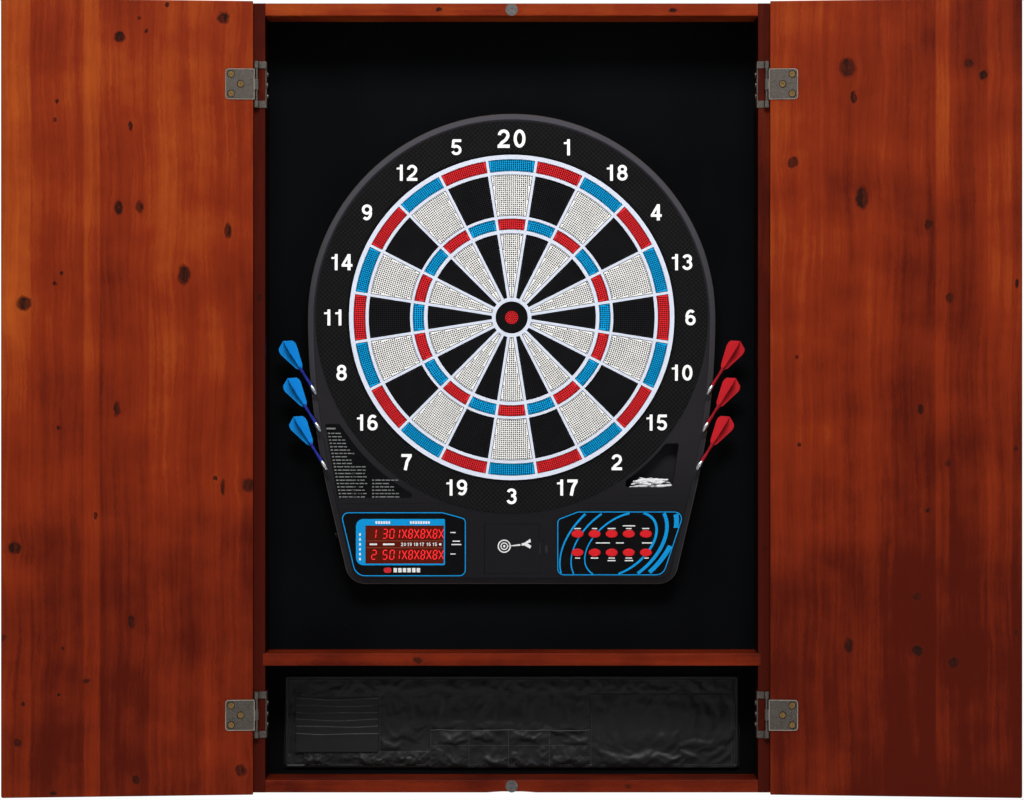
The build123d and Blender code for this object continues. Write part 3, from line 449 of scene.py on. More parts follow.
def pine(name, grain, knots=(), planks=(), span=(0.0, 1.0), tone=0.5, shaded_inner_face=None):
    """Pine with a red-brown stain. The grain runs along axis 0 or 2, a knot is its x, z, radius
    and stretch along the grain, and planks are (x, tone) steps across the span. Painted shade makes
    it darker towards the bottom, and can darken an upright all over and its inner face most."""
    s = Shader(name, Specular_IOR_Level=0.05)
    here = where = s.place()
    if knots:
        warp = s.node("TexNoise", {"Vector": where, "Scale": 0.16, "Detail": 2.0}, "Color")
        warp = s.vector("SUBTRACT", warp, (0.5, 0.5, 0.5))
        where = s.vector("ADD", where, s.vector("MULTIPLY", warp, (5.0, 0.0, 7.0)))
    core = 0.0
    for x, z, radius, stretch in knots:
        wide, tall = 1.0 / radius, 1.0 / (radius * stretch)
        if grain == 0:
            scale, offset, push = (tall, 0.0, wide), (-x * tall, 0.0, -z * wide), (0.0, 0.0, radius * 1.1)
        else:
            scale, offset, push = (wide, 0.0, tall), (-x * wide, 0.0, -z * tall), (radius * 1.1, 0.0, 0.0)
        inputs = {"Where": where, "Scale": scale, "Offset": offset, "Push": push, "Core": core}
        where = s.node("Group", inputs, node_tree=KNOT)
        core = where.node.outputs[1]
    slow = (1.0, 1.0, 0.03) if grain == 2 else (0.03, 1.0, 1.0)
    streaky = s.vector("MULTIPLY", where, slow)
    sway = s.noise(s.vector("MULTIPLY", where, (0.3, 0.3, 1.0)), 0.008, 1.0)
    streaky = s.vector("ADD", streaky, s.node("CombineXYZ", {0: s.math("MULTIPLY", sway, 16.0)}))
    broad = s.noise(streaky, 0.055, 3.0, 0.5)
    middle = s.noise(streaky, 0.22, 4.0, 0.6)
    fine = s.noise(streaky, 1.3, 3.0, 0.65)
    cloud = s.noise(where, 0.011, 3.0, 0.55)
    total = s.math("MULTIPLY_ADD", broad, 0.5, s.math("MULTIPLY", middle, 0.3))
    total = s.math("MULTIPLY_ADD", fine, 0.24, total)
    total = s.math("MULTIPLY_ADD", cloud, 0.75, total)
    total = s.math("ADD", total, tone - 0.93)
    # Painted shade: darker towards the bottom and a little lighter at the top, as the lamp above lights it.
    total = s.math("ADD", total, s.span(s.axis(here, 2), -480.0, 330.0, -0.3, 0.06))
    if planks:
        across = s.span(s.axis(here, 0), *span)
        across.node.interpolation_type = "LINEAR"
        steps = [((x - span[0]) / (span[1] - span[0]), (value,)) for x, value in planks]
        total = s.math("ADD", total, s.math("SUBTRACT", s.ramp(across, *steps), 0.5))
    stain = s.ramp(total, (0.05, PINE_DARK), (0.47, PINE_MID), (0.95, PINE_LIGHT))
    if knots:
        ringed = s.noise(streaky, 0.8, 2.0)
        halo = s.span(core, 0.0, 0.45, 0.0, 0.62)
        stain = s.mix(halo, stain, (0.062, 0.006, 0.002))
        heart = s.math("MULTIPLY", s.span(core, 0.45, 0.95), s.span(ringed, 0.35, 0.65, 0.45, 1.0))
        stain = s.mix(heart, stain, (0.012, 0.0035, 0.002))
    # Painted shade: an upright is darkened all over as if in the doors' shadow, and its inner face inside the
    # cabinet far more.
    if shaded_inner_face:
        aside = s.math("ABSOLUTE", s.axis(here, 0))
        stain = s.scaled(stain, s.span(aside, shaded_inner_face + 0.1, shaded_inner_face + 0.6, 0.12, 0.72))
    s.colour(stain)
    s.rough(s.span(fine, 0.3, 0.7, 0.36, 0.5))
    s.bump(s.math("ADD", fine, middle), 0.05)
    return s.material


def raw_wood(name):
    """Unstained pine."""
    s = Shader(name)
    where = s.place((0.03, 1.0, 1.0))
    broad = s.noise(where, 0.16, 3.0, 0.55)
    fine = s.noise(where, 1.6, 3.0, 0.6)
    total = s.math("MULTIPLY_ADD", fine, 0.35, s.math("MULTIPLY", broad, 0.75))
    s.colour(s.ramp(total, (0.35, (0.42, 0.25, 0.11)), (0.75, (0.68, 0.48, 0.26))))
    s.rough(s.span(fine, 0.3, 0.7, 0.6, 0.8))
    s.bump(fine, 0.08)
    return s.material


def perforated(name, colour, roughness=0.38):
    """Target plastic, with painted shade that darkens its holes as they get deeper."""
    s = Shader(name, Specular_IOR_Level=0.06)
    where = s.place()
    # Painted shade: a point more than a tenth of a millimetre behind the front, in the holes and on the
    # chamfered edges, is nearly black.
    depth_shade = s.span(s.axis(where, 1), -SEGMENT_FRONT + 0.02, -SEGMENT_FRONT + 0.14, 1.0, 0.02)
    mottle = s.noise(where, 0.05, 3.0, 0.6)
    tint = s.ramp(mottle, (0.3, tuple(c * 0.92 for c in colour)), (0.7, tuple(c * 1.06 for c in colour)))
    s.colour(s.scaled(tint, depth_shade))
    s.rough(s.span(mottle, 0.3, 0.7, roughness - 0.05, roughness + 0.08))
    s.bump(s.noise(where, 2.5, 2.0), 0.01)
    return s.material


def circuit(name):
    """Green circuit board with copper tracks."""
    s = Shader(name, Roughness=0.35)
    where = s.place()
    cells = s.node("TexVoronoi", {"Vector": where, "Scale": 0.22}, "Distance", feature="DISTANCE_TO_EDGE")
    tracks = s.span(cells, 0.04, 0.07, 1.0, 0.0)
    s.colour(s.mix(tracks, (0.012, 0.09, 0.035), (0.04, 0.2, 0.08)))
    s.bump(tracks, 0.04)
    return s.material


def hardboard(name, colour):
    """Hardboard with its fibres showing through black paint."""
    s = Shader(name, Specular_IOR_Level=0.02)
    where = s.place()
    fibres = s.noise(where, 0.9, 4.0, 0.7, 1.5)
    cloud = s.noise(where, 0.006, 3.0, 0.6)
    s.colour(s.ramp(cloud, (0.3, tuple(0.75 * c for c in colour)), (0.7, tuple(1.3 * c for c in colour))))
    s.rough(s.span(fibres, 0.3, 0.7, 0.5, 0.72))
    s.bump(fibres, 0.05)
    return s.material


def glow(name, colour, strength):
    """Lit plastic, a little uneven."""
    s = Shader(name, Roughness=0.3)
    lit = s.ramp(s.noise(s.place(), 0.6, 2.0), (0.3, tuple(c * 0.85 for c in colour)), (0.7, colour))
    s.colour(lit)
    s.tree.links.new(lit, s.shader.inputs["Emission Color"])
    s.shader.inputs["Emission Strength"].default_value = strength
    return s.material


# Knots as x, z, radius and stretch along the grain, read off the doors.
LEFT_KNOTS = [
    (-345, 455, 6.5, 1.1), (-467, 431, 6, 1), (-445, 454, 2, 1), (-437, 438, 2, 1), (-412, 470, 2.4, 1),
    (-540, 353, 2, 1.6), (-543, 331, 2, 1), (-455, 325, 2.2, 2.4), (-469, 227, 4.5, 1.8),
    (-445, 228, 4.5, 1.5), (-340, 200, 4.5, 1.8), (-392, 147, 7, 1.6), (-535, 149, 2.4, 1),
    (-543, 136, 2.4, 1), (-579, 112, 8, 1), (-471, -13, 4, 2), (-538, -36, 2.4, 1), (-496, -140, 2.3, 1.8),
    (-355, -96, 3, 1), (-347, -106, 2.6, 3.6), (-316, -104, 8, 1), (-590, -178, 7.5, 1),
    (-454, -267, 4.5, 1.8), (-605, -285, 4.5, 1), (-534, -298, 2, 1), (-507, -337, 4, 0.6),
    (-539, -353, 2, 1), (-580, -364, 2.4, 1), (-587, -410, 5, 1), (-449, -456, 4.5, 1), (-545, -471, 4, 0.8),
    (-325, -446, 6.5, 1),
]
RIGHT_KNOTS = [
    (401, 395, 9, 1.2), (408, 359, 3, 2.2), (337, 282, 6, 1), (418, 239, 7, 1.9), (496, 207, 5, 1.2),
    (521, 120, 4.5, 1.2), (543, 399, 5.2, 1), (559, 384, 5.4, 1), (599, 136, 2.6, 2), (342, 49, 2.4, 1),
    (487, -13, 3.6, 1.6), (345, -56, 2.2, 1), (519, -78, 3.6, 1), (496, -134, 3, 1), (483, -237, 5.8, 1),
    (403, -295, 5, 1.9), (483, -301, 7, 1), (525, -315, 7.5, 0.8), (598, -60, 2, 1.5), (597, -278, 2, 2),
]
# Edge-glued boards as (x, tone) across a door.
LEFT_PLANKS = [
    (-612, 0.64), (-573, 0.62), (-571, 0.47), (-511, 0.50), (-509, 0.66), (-492, 0.64), (-490, 0.40),
    (-434, 0.42), (-432, 0.52), (-311, 0.50),
]
RIGHT_PLANKS = [
    (311, 0.60), (371, 0.58), (373, 0.50), (443, 0.50), (445, 0.47), (459, 0.40), (504, 0.42), (506, 0.60),
    (520, 0.58), (522, 0.43), (565, 0.44), (567, 0.56), (594, 0.58), (596, 0.44), (612, 0.42),
]
RAIL_KNOTS = [(-87, 466, 2.6, 1.4), (194, 465, 3, 1.6), (-113, -315, 3.6, 1.6), (140, -466, 2.6, 1.5)]

pine_left_door = pine("pine_left_door", 2, LEFT_KNOTS, LEFT_PLANKS, (-612.0, -311.0))
pine_right_door = pine("pine_right_door", 2, RIGHT_KNOTS, RIGHT_PLANKS, (311.0, 612.0), tone=0.37)
# The uprights' low tone is painted shade, as from the doors' edges.
pine_upright = pine("pine_upright", 2, [(-303, 120, 2.5, 2.0), (304, -180, 2.2, 2.0)], tone=0.0,
                    shaded_inner_face=295.5)
pine_rail = pine("pine_rail", 0, RAIL_KNOTS)
raw_pine = raw_wood("raw_pine")
black_hardboard = hardboard("black_hardboard", (0.0017, 0.0019, 0.0023))
zinc = metal("zinc", (0.62, 0.63, 0.65), (0.3, 0.3, 0.32))
hinge_metal = metal("hinge_metal", (0.15, 0.13, 0.115), (0.03, 0.025, 0.021), 0.4, 0.6)
# Painted highlight for the rims of the door leaves.
hinge_rim_highlight = metal("hinge_rim_highlight", (0.62, 0.58, 0.5), (0.3, 0.27, 0.22), 0.25, 0.5)
# Painted shadow round the door leaves' screws.
shadow_paint = plastic("shadow_paint", (0.006, 0.0035, 0.002), 0.6)
brass = metal("brass", (0.42, 0.27, 0.11), (0.1, 0.055, 0.02), 0.3, 0.7)
catch_metal = metal("catch_metal", (0.19, 0.18, 0.175), (0.05, 0.047, 0.045), 0.36, 0.5)
silver = metal("silver", (0.74, 0.75, 0.78), (0.32, 0.33, 0.36), 0.25, 0.4)
charcoal = casing_plastic("charcoal")
black = plastic("black", (0.0013, 0.0013, 0.0015), 0.4, 0.12, 0.02)
web_white = plastic("web_white", (0.5, 0.53, 0.615), 0.35, 0.03, 0.008)
number_white = plastic("number_white", (0.72, 0.72, 0.71), 0.45, 0.03, 0.004)
hatch_grey = plastic("hatch_grey", (0.02, 0.02, 0.0215), 0.4, 0.1, 0.01)
segment_white = perforated("segment_white", (0.64, 0.63, 0.61))
segment_black = perforated("segment_black", (0.0065, 0.0065, 0.0075), 0.42)
segment_red = perforated("segment_red", (0.55, 0.017, 0.022))
segment_blue = perforated("segment_blue", (0.003, 0.25, 0.52))
rubber = plastic("rubber", (0.02, 0.02, 0.021), 0.7)
board_green = circuit("board_green")
module_black = plastic("module_black", (0.012, 0.012, 0.012), 0.5)
window_red = plastic("window_red", (0.070, 0.006, 0.0026), 0.2, 0.1, 0.002)
label_black = plastic("label_black", (0.0025, 0.0025, 0.003), 0.3, 0.1, 0.004)
label_blue = plastic("label_blue", (0.003, 0.2, 0.46), 0.34, 0.05, 0.004)
label_white = plastic("label_white", (0.55, 0.55, 0.55), 0.5, 0.05, 0.003)
label_grey = plastic("label_grey", (0.13, 0.13, 0.13), 0.5, 0.08, 0.003)
red_rubber = plastic("red_rubber", (0.46, 0.011, 0.015), 0.3, 0.06, 0.006, Coat_Weight=0.12)
led_on = glow("led_on", (0.83, 0.012, 0.02), 0.3)
led_off = plastic("led_off", (0.085, 0.008, 0.004), 0.25, 0.08, 0.002)
label_red = plastic("label_red", (0.42, 0.015, 0.02), 0.4, 0.05, 0.003)
window_line = plastic("window_line", (0.2, 0.05, 0.03), 0.3, 0.05, 0.003)
tip_white = plastic("tip_white", (0.6, 0.6, 0.61), 0.4, 0.04)
flight_blue = plastic("flight_blue", (0.004, 0.175, 0.5), 0.35, 0.06, 0.01)
flight_red = plastic("flight_red", (0.4, 0.012, 0.018), 0.35, 0.06, 0.01)
shaft_blue = plastic("shaft_blue", (0.014, 0.022, 0.2), 0.35)
shaft_red = plastic("shaft_red", (0.24, 0.008, 0.014), 0.35)

NODE_MATERIALS = {
    pine_upright: ["side_panel_left", "side_panel_right"],
    pine_rail: ["top_panel", "bottom_panel", "shelf"],
    pine_left_door: ["door_left"],
    pine_right_door: ["door_right"],
    raw_pine: ["hanging_cleats", "case_dowels"],
    black_hardboard: ["back_panel"],
    zinc: ["back_panel_screws", "housing_screws", "board_fixing_screws"],
    hinge_metal: ["hinge_frame_leaves_left", "hinge_frame_leaves_right", "hinge_door_leaves_left",
                  "hinge_door_leaves_right", "hinge_pins", "frame_hinge_screws"],
    brass: ["door_hinge_screws_left", "door_hinge_screws_right"],
    catch_metal: ["door_catches"],
    charcoal: ["front_housing", "storage_lid"],
    black: ["rear_cover", "number_ring", "power_inlet"],
    web_white: ["spider"],
    rubber: ["sensor_membrane"],
    board_green: ["circuit_boards"],
    module_black: ["score_display"],
    window_red: ["display_window"],
    label_black: ["games_label", "display_label", "control_label"],
    red_rubber: [f"button_{row}_{i}" for row in ("upper", "lower") for i in range(1, 6)],
}
for material, names in NODE_MATERIALS.items():
    for name in names:
        mesh = NODES[name].data
        mesh.materials.clear()
        mesh.materials.append(material)


# ================= target =================

def cell_outline(ring, play, steps=14):
    """A segment's outline, centred on +X about the target's centre."""
    inner, outer = ring[0] + play, ring[1] - play
    gap = WEB_T / 2 + play
    inner_a = math.radians(SECTOR / 2) - math.asin(gap / inner)
    outer_a = math.radians(SECTOR / 2) - math.asin(gap / outer)
    outline = []
    for radius, a, b in ((outer, -outer_a, outer_a), (inner, inner_a, -inner_a)):
        for i in range(steps + 1):
            turn = a + (b - a) * i / steps
            outline.append((radius * math.cos(turn), radius * math.sin(turn)))
    return outline


HOLE_PITCH = 2.4
HOLE_R = 0.92
HOLE_SIDES = 8
HOLE_DEPTH = 2.2
HOLE_MARGIN = 1.86
CHAMFER = 0.4


def cell_holes(ring):
    """Hole centres in rows across a segment."""
    rows = max(1, round((ring[1] - ring[0] - 2 * HOLE_MARGIN) / HOLE_PITCH))
    centres = []
    for k in range(rows + 1):
        radius = ring[0] + HOLE_MARGIN + (ring[1] - ring[0] - 2 * HOLE_MARGIN) * k / rows
        half = radius * math.radians(SECTOR / 2) - WEB_T / 2 - HOLE_MARGIN
        if half < 0:
            continue
        reach = int(half / HOLE_PITCH)
        for i in range(-reach, reach + 1):
            turn = i * HOLE_PITCH / radius
            centres.append((radius * math.cos(turn), radius * math.sin(turn)))
    return centres


def ring_holes(radii):
    """Hole centres in whole rings, for the bulls."""
    centres = []
    for radius in radii:
        centres += circle(0, 0, radius, int(2 * math.pi * radius / HOLE_PITCH))
    return centres


def pierced(front_loops, edge_loops, holes):
    """A perforated block about the target's centre as points (x, z, depth) and faces. Its first
    loop is the outside, and a second one a hole through the middle."""
    places, edges, owner = [], [], []
    for number, loop in enumerate(front_loops):
        start = len(places)
        places += loop
        edges += [(start + i, start + (i + 1) % len(loop)) for i in range(len(loop))]
        owner += [-1 - number] * len(loop)
    for number, (x, z) in enumerate(holes):
        start = len(places)
        places += circle(x, z, HOLE_R, HOLE_SIDES)
        edges += [(start + i, start + (i + 1) % HOLE_SIDES) for i in range(HOLE_SIDES)]
        owner += [number] * HOLE_SIDES
    _, _, faces, _, _, _ = delaunay_2d_cdt([Vector(p) for p in places], edges, [], 1, 1e-6)
    kept = []
    for face in faces:
        owners = {owner[i] for i in face}
        if len(owners) > 1 or -1 in owners:
            kept.append(list(face))
    points = [(x, z, SEGMENT_FRONT) for x, z in places]
    for number, (x, z) in enumerate(holes):
        start = sum(len(loop) for loop in front_loops) + number * HOLE_SIDES
        points.append((x, z, SEGMENT_FRONT - HOLE_DEPTH))
        apex = len(points) - 1
        kept += [[start + (i + 1) % HOLE_SIDES, start + i, apex] for i in range(HOLE_SIDES)]
    start, backs = 0, []
    for loop, edge in zip(front_loops, edge_loops):
        count = len(loop)
        first = len(points)
        points += [(x, z, SEGMENT_FRONT - CHAMFER) for x, z in edge]
        points += [(x, z, SEGMENT_BACK) for x, z in edge]
        for low, high in ((start, first), (first, first + count)):
            kept += joined(range(low, low + count), range(high, high + count))
        backs.append([first + count + i for i in range(count)])
        start += count
    kept += backs if len(backs) == 1 else joined(*backs)
    return points, kept


def joined(one, other):
    """Faces between two closed loops of as many points."""
    return [[one[i - 1], one[i], other[i], other[i - 1]] for i in range(len(one))]


def turned(points, degrees):
    """Turns points about the target's centre and puts them in the frame."""
    c, s = math.cos(math.radians(degrees)), math.sin(math.radians(degrees))
    return [(x * c - z * s, -depth, BOARD_Z + x * s + z * c) for x, z, depth in points]


CELLS = {}
for ring in (DOUBLE, OUTER_SINGLE, TRIPLE, INNER_SINGLE):
    loops = [cell_outline(ring, CELL_PLAY + 0.4)], [cell_outline(ring, CELL_PLAY)]
    CELLS[ring] = pierced(*loops, cell_holes(ring))

EVEN, ODD = 90.0, 108.0
SEGMENTS = (
    ("white", segment_white, ((INNER_SINGLE, EVEN), (OUTER_SINGLE, EVEN))),
    ("black", segment_black, ((INNER_SINGLE, ODD), (OUTER_SINGLE, ODD))),
    ("red", segment_red, ((TRIPLE, EVEN), (DOUBLE, ODD))),
    ("blue", segment_blue, ((TRIPLE, ODD), (DOUBLE, EVEN))),
)
for colour, material, rings in SEGMENTS:
    shape = Shape()
    for ring, start in rings:
        points, faces = CELLS[ring]
        for i in range(10):
            shape.add(turned(points, start + 36.0 * i), faces)
    shape.piece(f"{colour}_segments_pierced", f"{colour}_target", f"{colour}_plastic", material,
                [f"{colour}_segments"])

shape = Shape()
loops = [circle(0, 0, r, 72) for r in (BULL_R - 0.4, BULL_EYE_R + 0.8)]
edge = [circle(0, 0, r, 72) for r in (BULL_R, BULL_EYE_R + 0.4)]
points, faces = pierced(loops, edge, ring_holes([10.6, 12.8, 15.0, 17.2]))
shape.add(turned(points, 0), faces)
shape.piece("bull_outer_pierced", "outer_bull", "black_plastic", segment_black, ["bull_outer"])
shape = Shape()
points, faces = pierced([circle(0, 0, BULL_EYE_R - 0.4, 48)], [circle(0, 0, BULL_EYE_R, 48)],
                        [(0, 0)] + ring_holes([2.3, 4.4, 6.4]))
shape.add(turned(points, 0), faces)
shape.piece("bull_inner_pierced", "inner_bull", "red_plastic", segment_red, ["bull_inner"])

# Numerals and the raised diamond lines of the number ring.
NUMBERS = (20, 1, 18, 4, 13, 6, 10, 15, 2, 17, 3, 19, 7, 16, 8, 11, 14, 9, 12, 5)
NUMERAL_R, NUMERAL_H, TOP_NUMERAL_H = 216.6, 19.5, 22.5
shape = Shape()
for i, number in enumerate(NUMBERS):
    turn = math.radians(SECTOR * i)
    height = TOP_NUMERAL_H if number == 20 else NUMERAL_H
    write(shape, str(number), NUMERAL_R * math.sin(turn), BOARD_Z + NUMERAL_R * math.cos(turn), height,
          RING_FRONT - 0.05, RING_FRONT + 0.35)
shape.piece("numerals", "cabinet", "white_plastic", number_white)

HATCH_PITCH, HATCH_W = 3.9, 0.35
HATCH_LINES = int((RING_R[1] - 2) / HATCH_PITCH)
DIAGONAL = math.cos(math.radians(45))
strips = []
for slant in (-1, 1):
    for k in range(-HATCH_LINES, HATCH_LINES + 1):
        away = k * HATCH_PITCH
        outer = math.sqrt((RING_R[1] - 0.6) ** 2 - away ** 2)
        inner = math.sqrt(max(0.0, (RING_R[0] + 3.0) ** 2 - away ** 2))
        spans = [(-outer, outer)] if inner == 0 else [(-outer, -inner), (inner, outer)]
        for a, b in spans:
            corners = rectangle((a + b) / 2, away, b - a, HATCH_W)
            strips.append([((u - slant * v) * DIAGONAL, BOARD_Z + (slant * u + v) * DIAGONAL)
                           for u, v in corners])
shape = Shape()
plate(shape, strips, RING_FRONT - 0.05, RING_FRONT + 0.1)
shape.piece("ring_hatching", "cabinet", "black_plastic", hatch_grey)


# ================= labels and display =================

DISPLAY = [(-207.9, -138.2, 8.0), (-83.6, -138.2, 6.0), (-55.3, -146.0, 6.0), (-55.3, -216.2, 8.0),
           (-189.4, -216.2, 15.0)]
CONTROL = [(55.0, -147.0, 6.0), (80.0, -137.3, 6.0), (210.0, -137.3, 9.0), (184.1, -215.1, 13.0),
           (55.0, -215.1, 8.0)]
BEZEL = [(-188.6, -146.6, 9.0), (-80.8, -146.6, 1.5), (-80.8, -202.6, 1.5), (-188.6, -202.6, 9.0)]
WINDOW = [(-177.2, -154.5, 0.6), (-82.2, -154.5, 0.6), (-82.2, -200.7, 0.6), (-177.2, -200.7, 0.6)]
PRINT = (CASE_FRONT - 0.05, CASE_FRONT + 0.08)

shape = Shape()
for corners in (DISPLAY, CONTROL):
    shape.band(rounded(corners, 0.3), rounded(corners, 1.4), *PRINT)
shape.band(rounded(BEZEL), rounded(WINDOW), *PRINT)


SWIRL_LEAN, SWIRL_STEPS = math.radians(38.0), 200


def swirl(shape, clip, centre, wide, tall, widths):
    """A leaning elliptical band that swells and thins, cut to the label's outline."""
    c, s = math.cos(SWIRL_LEAN), math.sin(SWIRL_LEAN)
    rows = []
    for i in range(SWIRL_STEPS + 1):
        turn = math.radians(-180 + 360 * i / SWIRL_STEPS)
        swell = 0.5 + 0.5 * math.cos(turn + math.radians(25))
        width = widths[0] + (widths[1] - widths[0]) * swell
        row = []
        for push in (-width / 2, width / 2):
            u, v = (wide + push) * math.cos(turn), (tall + push) * math.sin(turn)
            row.append((centre[0] + u * c - v * s, centre[1] + u * s + v * c))
        rows.append(row)
    for a, b in zip(rows, rows[1:]):
        if all(inside(clip, *p) for p in a + b):
            shape.prism([a[0], a[1], b[1], b[0]], *PRINT)


control_clip = rounded(CONTROL, 0.9)
swirl(shape, control_clip, (132.0, -177.5), 50.0, 30.0, (1.5, 3.2))
swirl(shape, control_clip, (130.0, -177.0), 66.0, 42.0, (1.6, 4.4))
swirl(shape, control_clip, (129.0, -175.0), 80.0, 52.0, (1.8, 6.0))
shape.piece("blue_print", "cabinet", "blue_plastic", label_blue)

# The list of games: a heading and rows of words as plain bars. The rows end at the casing's round
# rim, and the lower ones have a second and a third column.
rng = random.Random(7)
ROW_PITCH, RIM_R = 4.05, 249.0
shape = Shape()
shape.bar(-218.9, -37.1, 11.0, 2.0, *PRINT)
for row in range(20):
    z = -42.9 - ROW_PITCH * row
    reach = math.sqrt(RIM_R ** 2 - (z - BOARD_Z) ** 2)
    x = -222.6 + 0.178 * ROW_PITCH * row
    ends = [min(-reach, x + rng.uniform(19.0, 29.0))]
    if row >= 10:
        ends.append(rng.uniform(-178.0, -174.0))
    if row >= 14:
        ends.append(rng.uniform(-150.0, -132.0))
    for column, end in enumerate(ends):
        if column:
            x = (-193.0, -169.0)[column - 1]
        shape.bar(x + 1.3, z, 2.6, 1.5, *PRINT)
        x += 4.0
        while x < end - 2.0:
            word = min(rng.uniform(3.0, 8.5), end - x)
            shape.bar(x + word / 2, z, word, 1.2, *PRINT)
            x += word + 1.2
shape.piece("games_print", "cabinet", "white_plastic", label_grey)

# Bars for the words by the buttons and the display.
shape = Shape()
for i, widths in enumerate(((8.0, 6.0), (6.5, 9.0), (9.5, 7.5), (7.0, 8.0), (8.5, 7.0))):
    for z, width in zip((-158.2, -193.9), widths):
        shape.bar(79.7 + 20.7 * i, z, width, 1.3, *PRINT)
for x, z, width in ((142.0, -154.9, 15.0), (121.0, -197.0, 9.5), (142.0, -197.0, 10.0),
                    (110.5, -175.6, 17.0), (131.0, -175.6, 9.5), (163.7, -175.6, 12.0)):
    shape.bar(x, z, width, 1.3, *PRINT)
for x, z, width in ((-71.0, -163.0, 6.5), (-71.0, -189.0, 6.5), (-67.0, -173.5, 9.0),
                    (-67.0, -177.5, 12.0)):
    shape.bar(x, z, width, 1.2, *PRINT)
ON_BEZEL = (PRINT[1] - 0.02, PRINT[1] + 0.05)
BLOCK_PITCH = 3.1
for start, count in ((-163.8, 6), (-122.0, 8)):
    for k in range(count):
        shape.bar(start + BLOCK_PITCH * k, -150.9, 2.3, 3.2, *ON_BEZEL)
for k in range(6):
    shape.bar(-183.7, -165.4 - 5.95 * k, 2.2, 3.0, *ON_BEZEL)
    shape.bar(-141.0 + 5.6 * k, -208.6, 4.2, 5.2, *PRINT)
shape.piece("white_print", "cabinet", "white_plastic", label_white)
shape = Shape()
shape.prism(rounded([(-155.0, -205.4, 3.0), (-145.5, -205.4, 3.0), (-145.5, -211.8, 3.0),
                     (-155.0, -211.8, 3.0)]), *PRINT)
shape.piece("red_print", "cabinet", "red_plastic", label_red)

# A plain dart and target on the lid.
LID_PRINT = (CASE_FRONT - 0.05, CASE_FRONT + 0.1)
BADGE = (-9.0, -179.6)
shape = Shape()
for radius, width in ((8.0, 1.5), (4.6, 1.3)):
    shape.band(circle(*BADGE, radius, 40), circle(*BADGE, radius - width, 40), *LID_PRINT)
shape.prism(circle(*BADGE, 1.5, 24), *LID_PRINT)
shape.prism([(-5.0, -179.2), (10.5, -176.9), (10.5, -178.9), (-5.0, -179.9)], *LID_PRINT)
shape.prism([(12.0, -176.2), (15.5, -175.4), (22.5, -170.6), (23.4, -174.6), (19.0, -175.9), (24.0, -179.4),
             (22.0, -182.4), (15.5, -178.6), (12.0, -178.9)], *LID_PRINT)
shape.piece("lid_print", "lid", "white_plastic", label_white)

WINDOW_FRONT = 57.7
LIT_FRONT = (WINDOW_FRONT - 0.05, WINDOW_FRONT + 0.06)
SEGMENT_BARS = {  # a b c d e f g, as x, z, width, height in a digit 1 wide and 2 high
    "a": (0, 1, 0.8, 0.2), "b": (0.5, 0.5, 0.2, 0.8), "c": (0.5, -0.5, 0.2, 0.8), "d": (0, -1, 0.8, 0.2),
    "e": (-0.5, -0.5, 0.2, 0.8), "f": (-0.5, 0.5, 0.2, 0.8), "g": (0, 0, 0.8, 0.2),
}
DIGIT_BARS = {"0": "abcdef", "1": "bc", "2": "abged", "3": "abgcd", "5": "afgcd"}
BAR_T = 0.62


def leaning_bar(x, z, bar, wide, tall):
    """One bar of a digit, in a digit that leans to the right."""
    bx, bz, width, height = bar
    centre_x, centre_z = bx * wide, bz * tall
    t = BAR_T
    if width > height:
        w = width * wide / 2 + 0.2
        points = [(-w, 0), (-w + t, -t), (w - t, -t), (w, 0), (w - t, t), (-w + t, t)]
    else:
        h = height * tall / 2 + 0.2
        points = [(0, -h), (t, -h + t), (t, h - t), (0, h), (-t, h - t), (-t, -h + t)]
    return [(x + centre_x + px + 0.1 * (centre_z + pz), z + centre_z + pz) for px, pz in points]


# Each player's number and score, and seven marks that are a cross or an 8 by turns.
lit, unlit = Shape(), Shape()
MARKS_X, MARK_PITCH = -129.8, 7.4
for z, digits in ((-164.5, "1301"), (-189.9, "2501")):
    for x, digit in zip((-166.8, -153.4, -145.0, -138.3), digits):
        for key, bar in SEGMENT_BARS.items():
            target = lit if key in DIGIT_BARS[digit] else unlit
            target.prism(leaning_bar(x, z, bar, 5.0, 5.4), *LIT_FRONT)
    for i in range(7):
        x = MARKS_X + MARK_PITCH * i
        if i % 2 == 0:
            for turn, front in ((62, 0.05), (-62, 0.07)):
                c, s = math.cos(math.radians(turn)), math.sin(math.radians(turn))
                bar = [(u * c - v * s + x, u * s + v * c + z) for u, v in rectangle(0, 0, 12.0, 1.1)]
                lit.prism(bar, LIT_FRONT[0], WINDOW_FRONT + front)
        else:
            for bar in SEGMENT_BARS.values():
                lit.prism(leaning_bar(x, z, bar, 4.2, 5.2), *LIT_FRONT)
lit.piece("lit_digits", "cabinet", "red_window", led_on)
unlit.piece("unlit_digits", "cabinet", "red_window", led_off)
shape = Shape()
for z in (-173.1, -181.5):
    shape.bar(-129.7, z, 92.8, 0.5, WINDOW_FRONT - 0.05, WINDOW_FRONT + 0.03)
shape.piece("window_lines", "cabinet", "red_window", window_line)
shape = Shape()
WINDOW_PRINT = (WINDOW_FRONT, WINDOW_FRONT + 0.1)
for number, x in zip(range(20, 14, -1), (-131.0, -123.8, -116.1, -108.9, -100.8, -93.3)):
    write(shape, str(number), x, -177.3, 4.2, *WINDOW_PRINT)
shape.prism(circle(-86.5, -177.3, 1.5, 16), *WINDOW_PRINT)
for x, width in ((-167.5, 9.0), (-149.0, 14.0)):
    shape.bar(x, -177.3, width, 2.0, *WINDOW_PRINT)
shape.piece("window_numbers", "cabinet", "white_plastic", label_white)


# ================= darts and tips =================

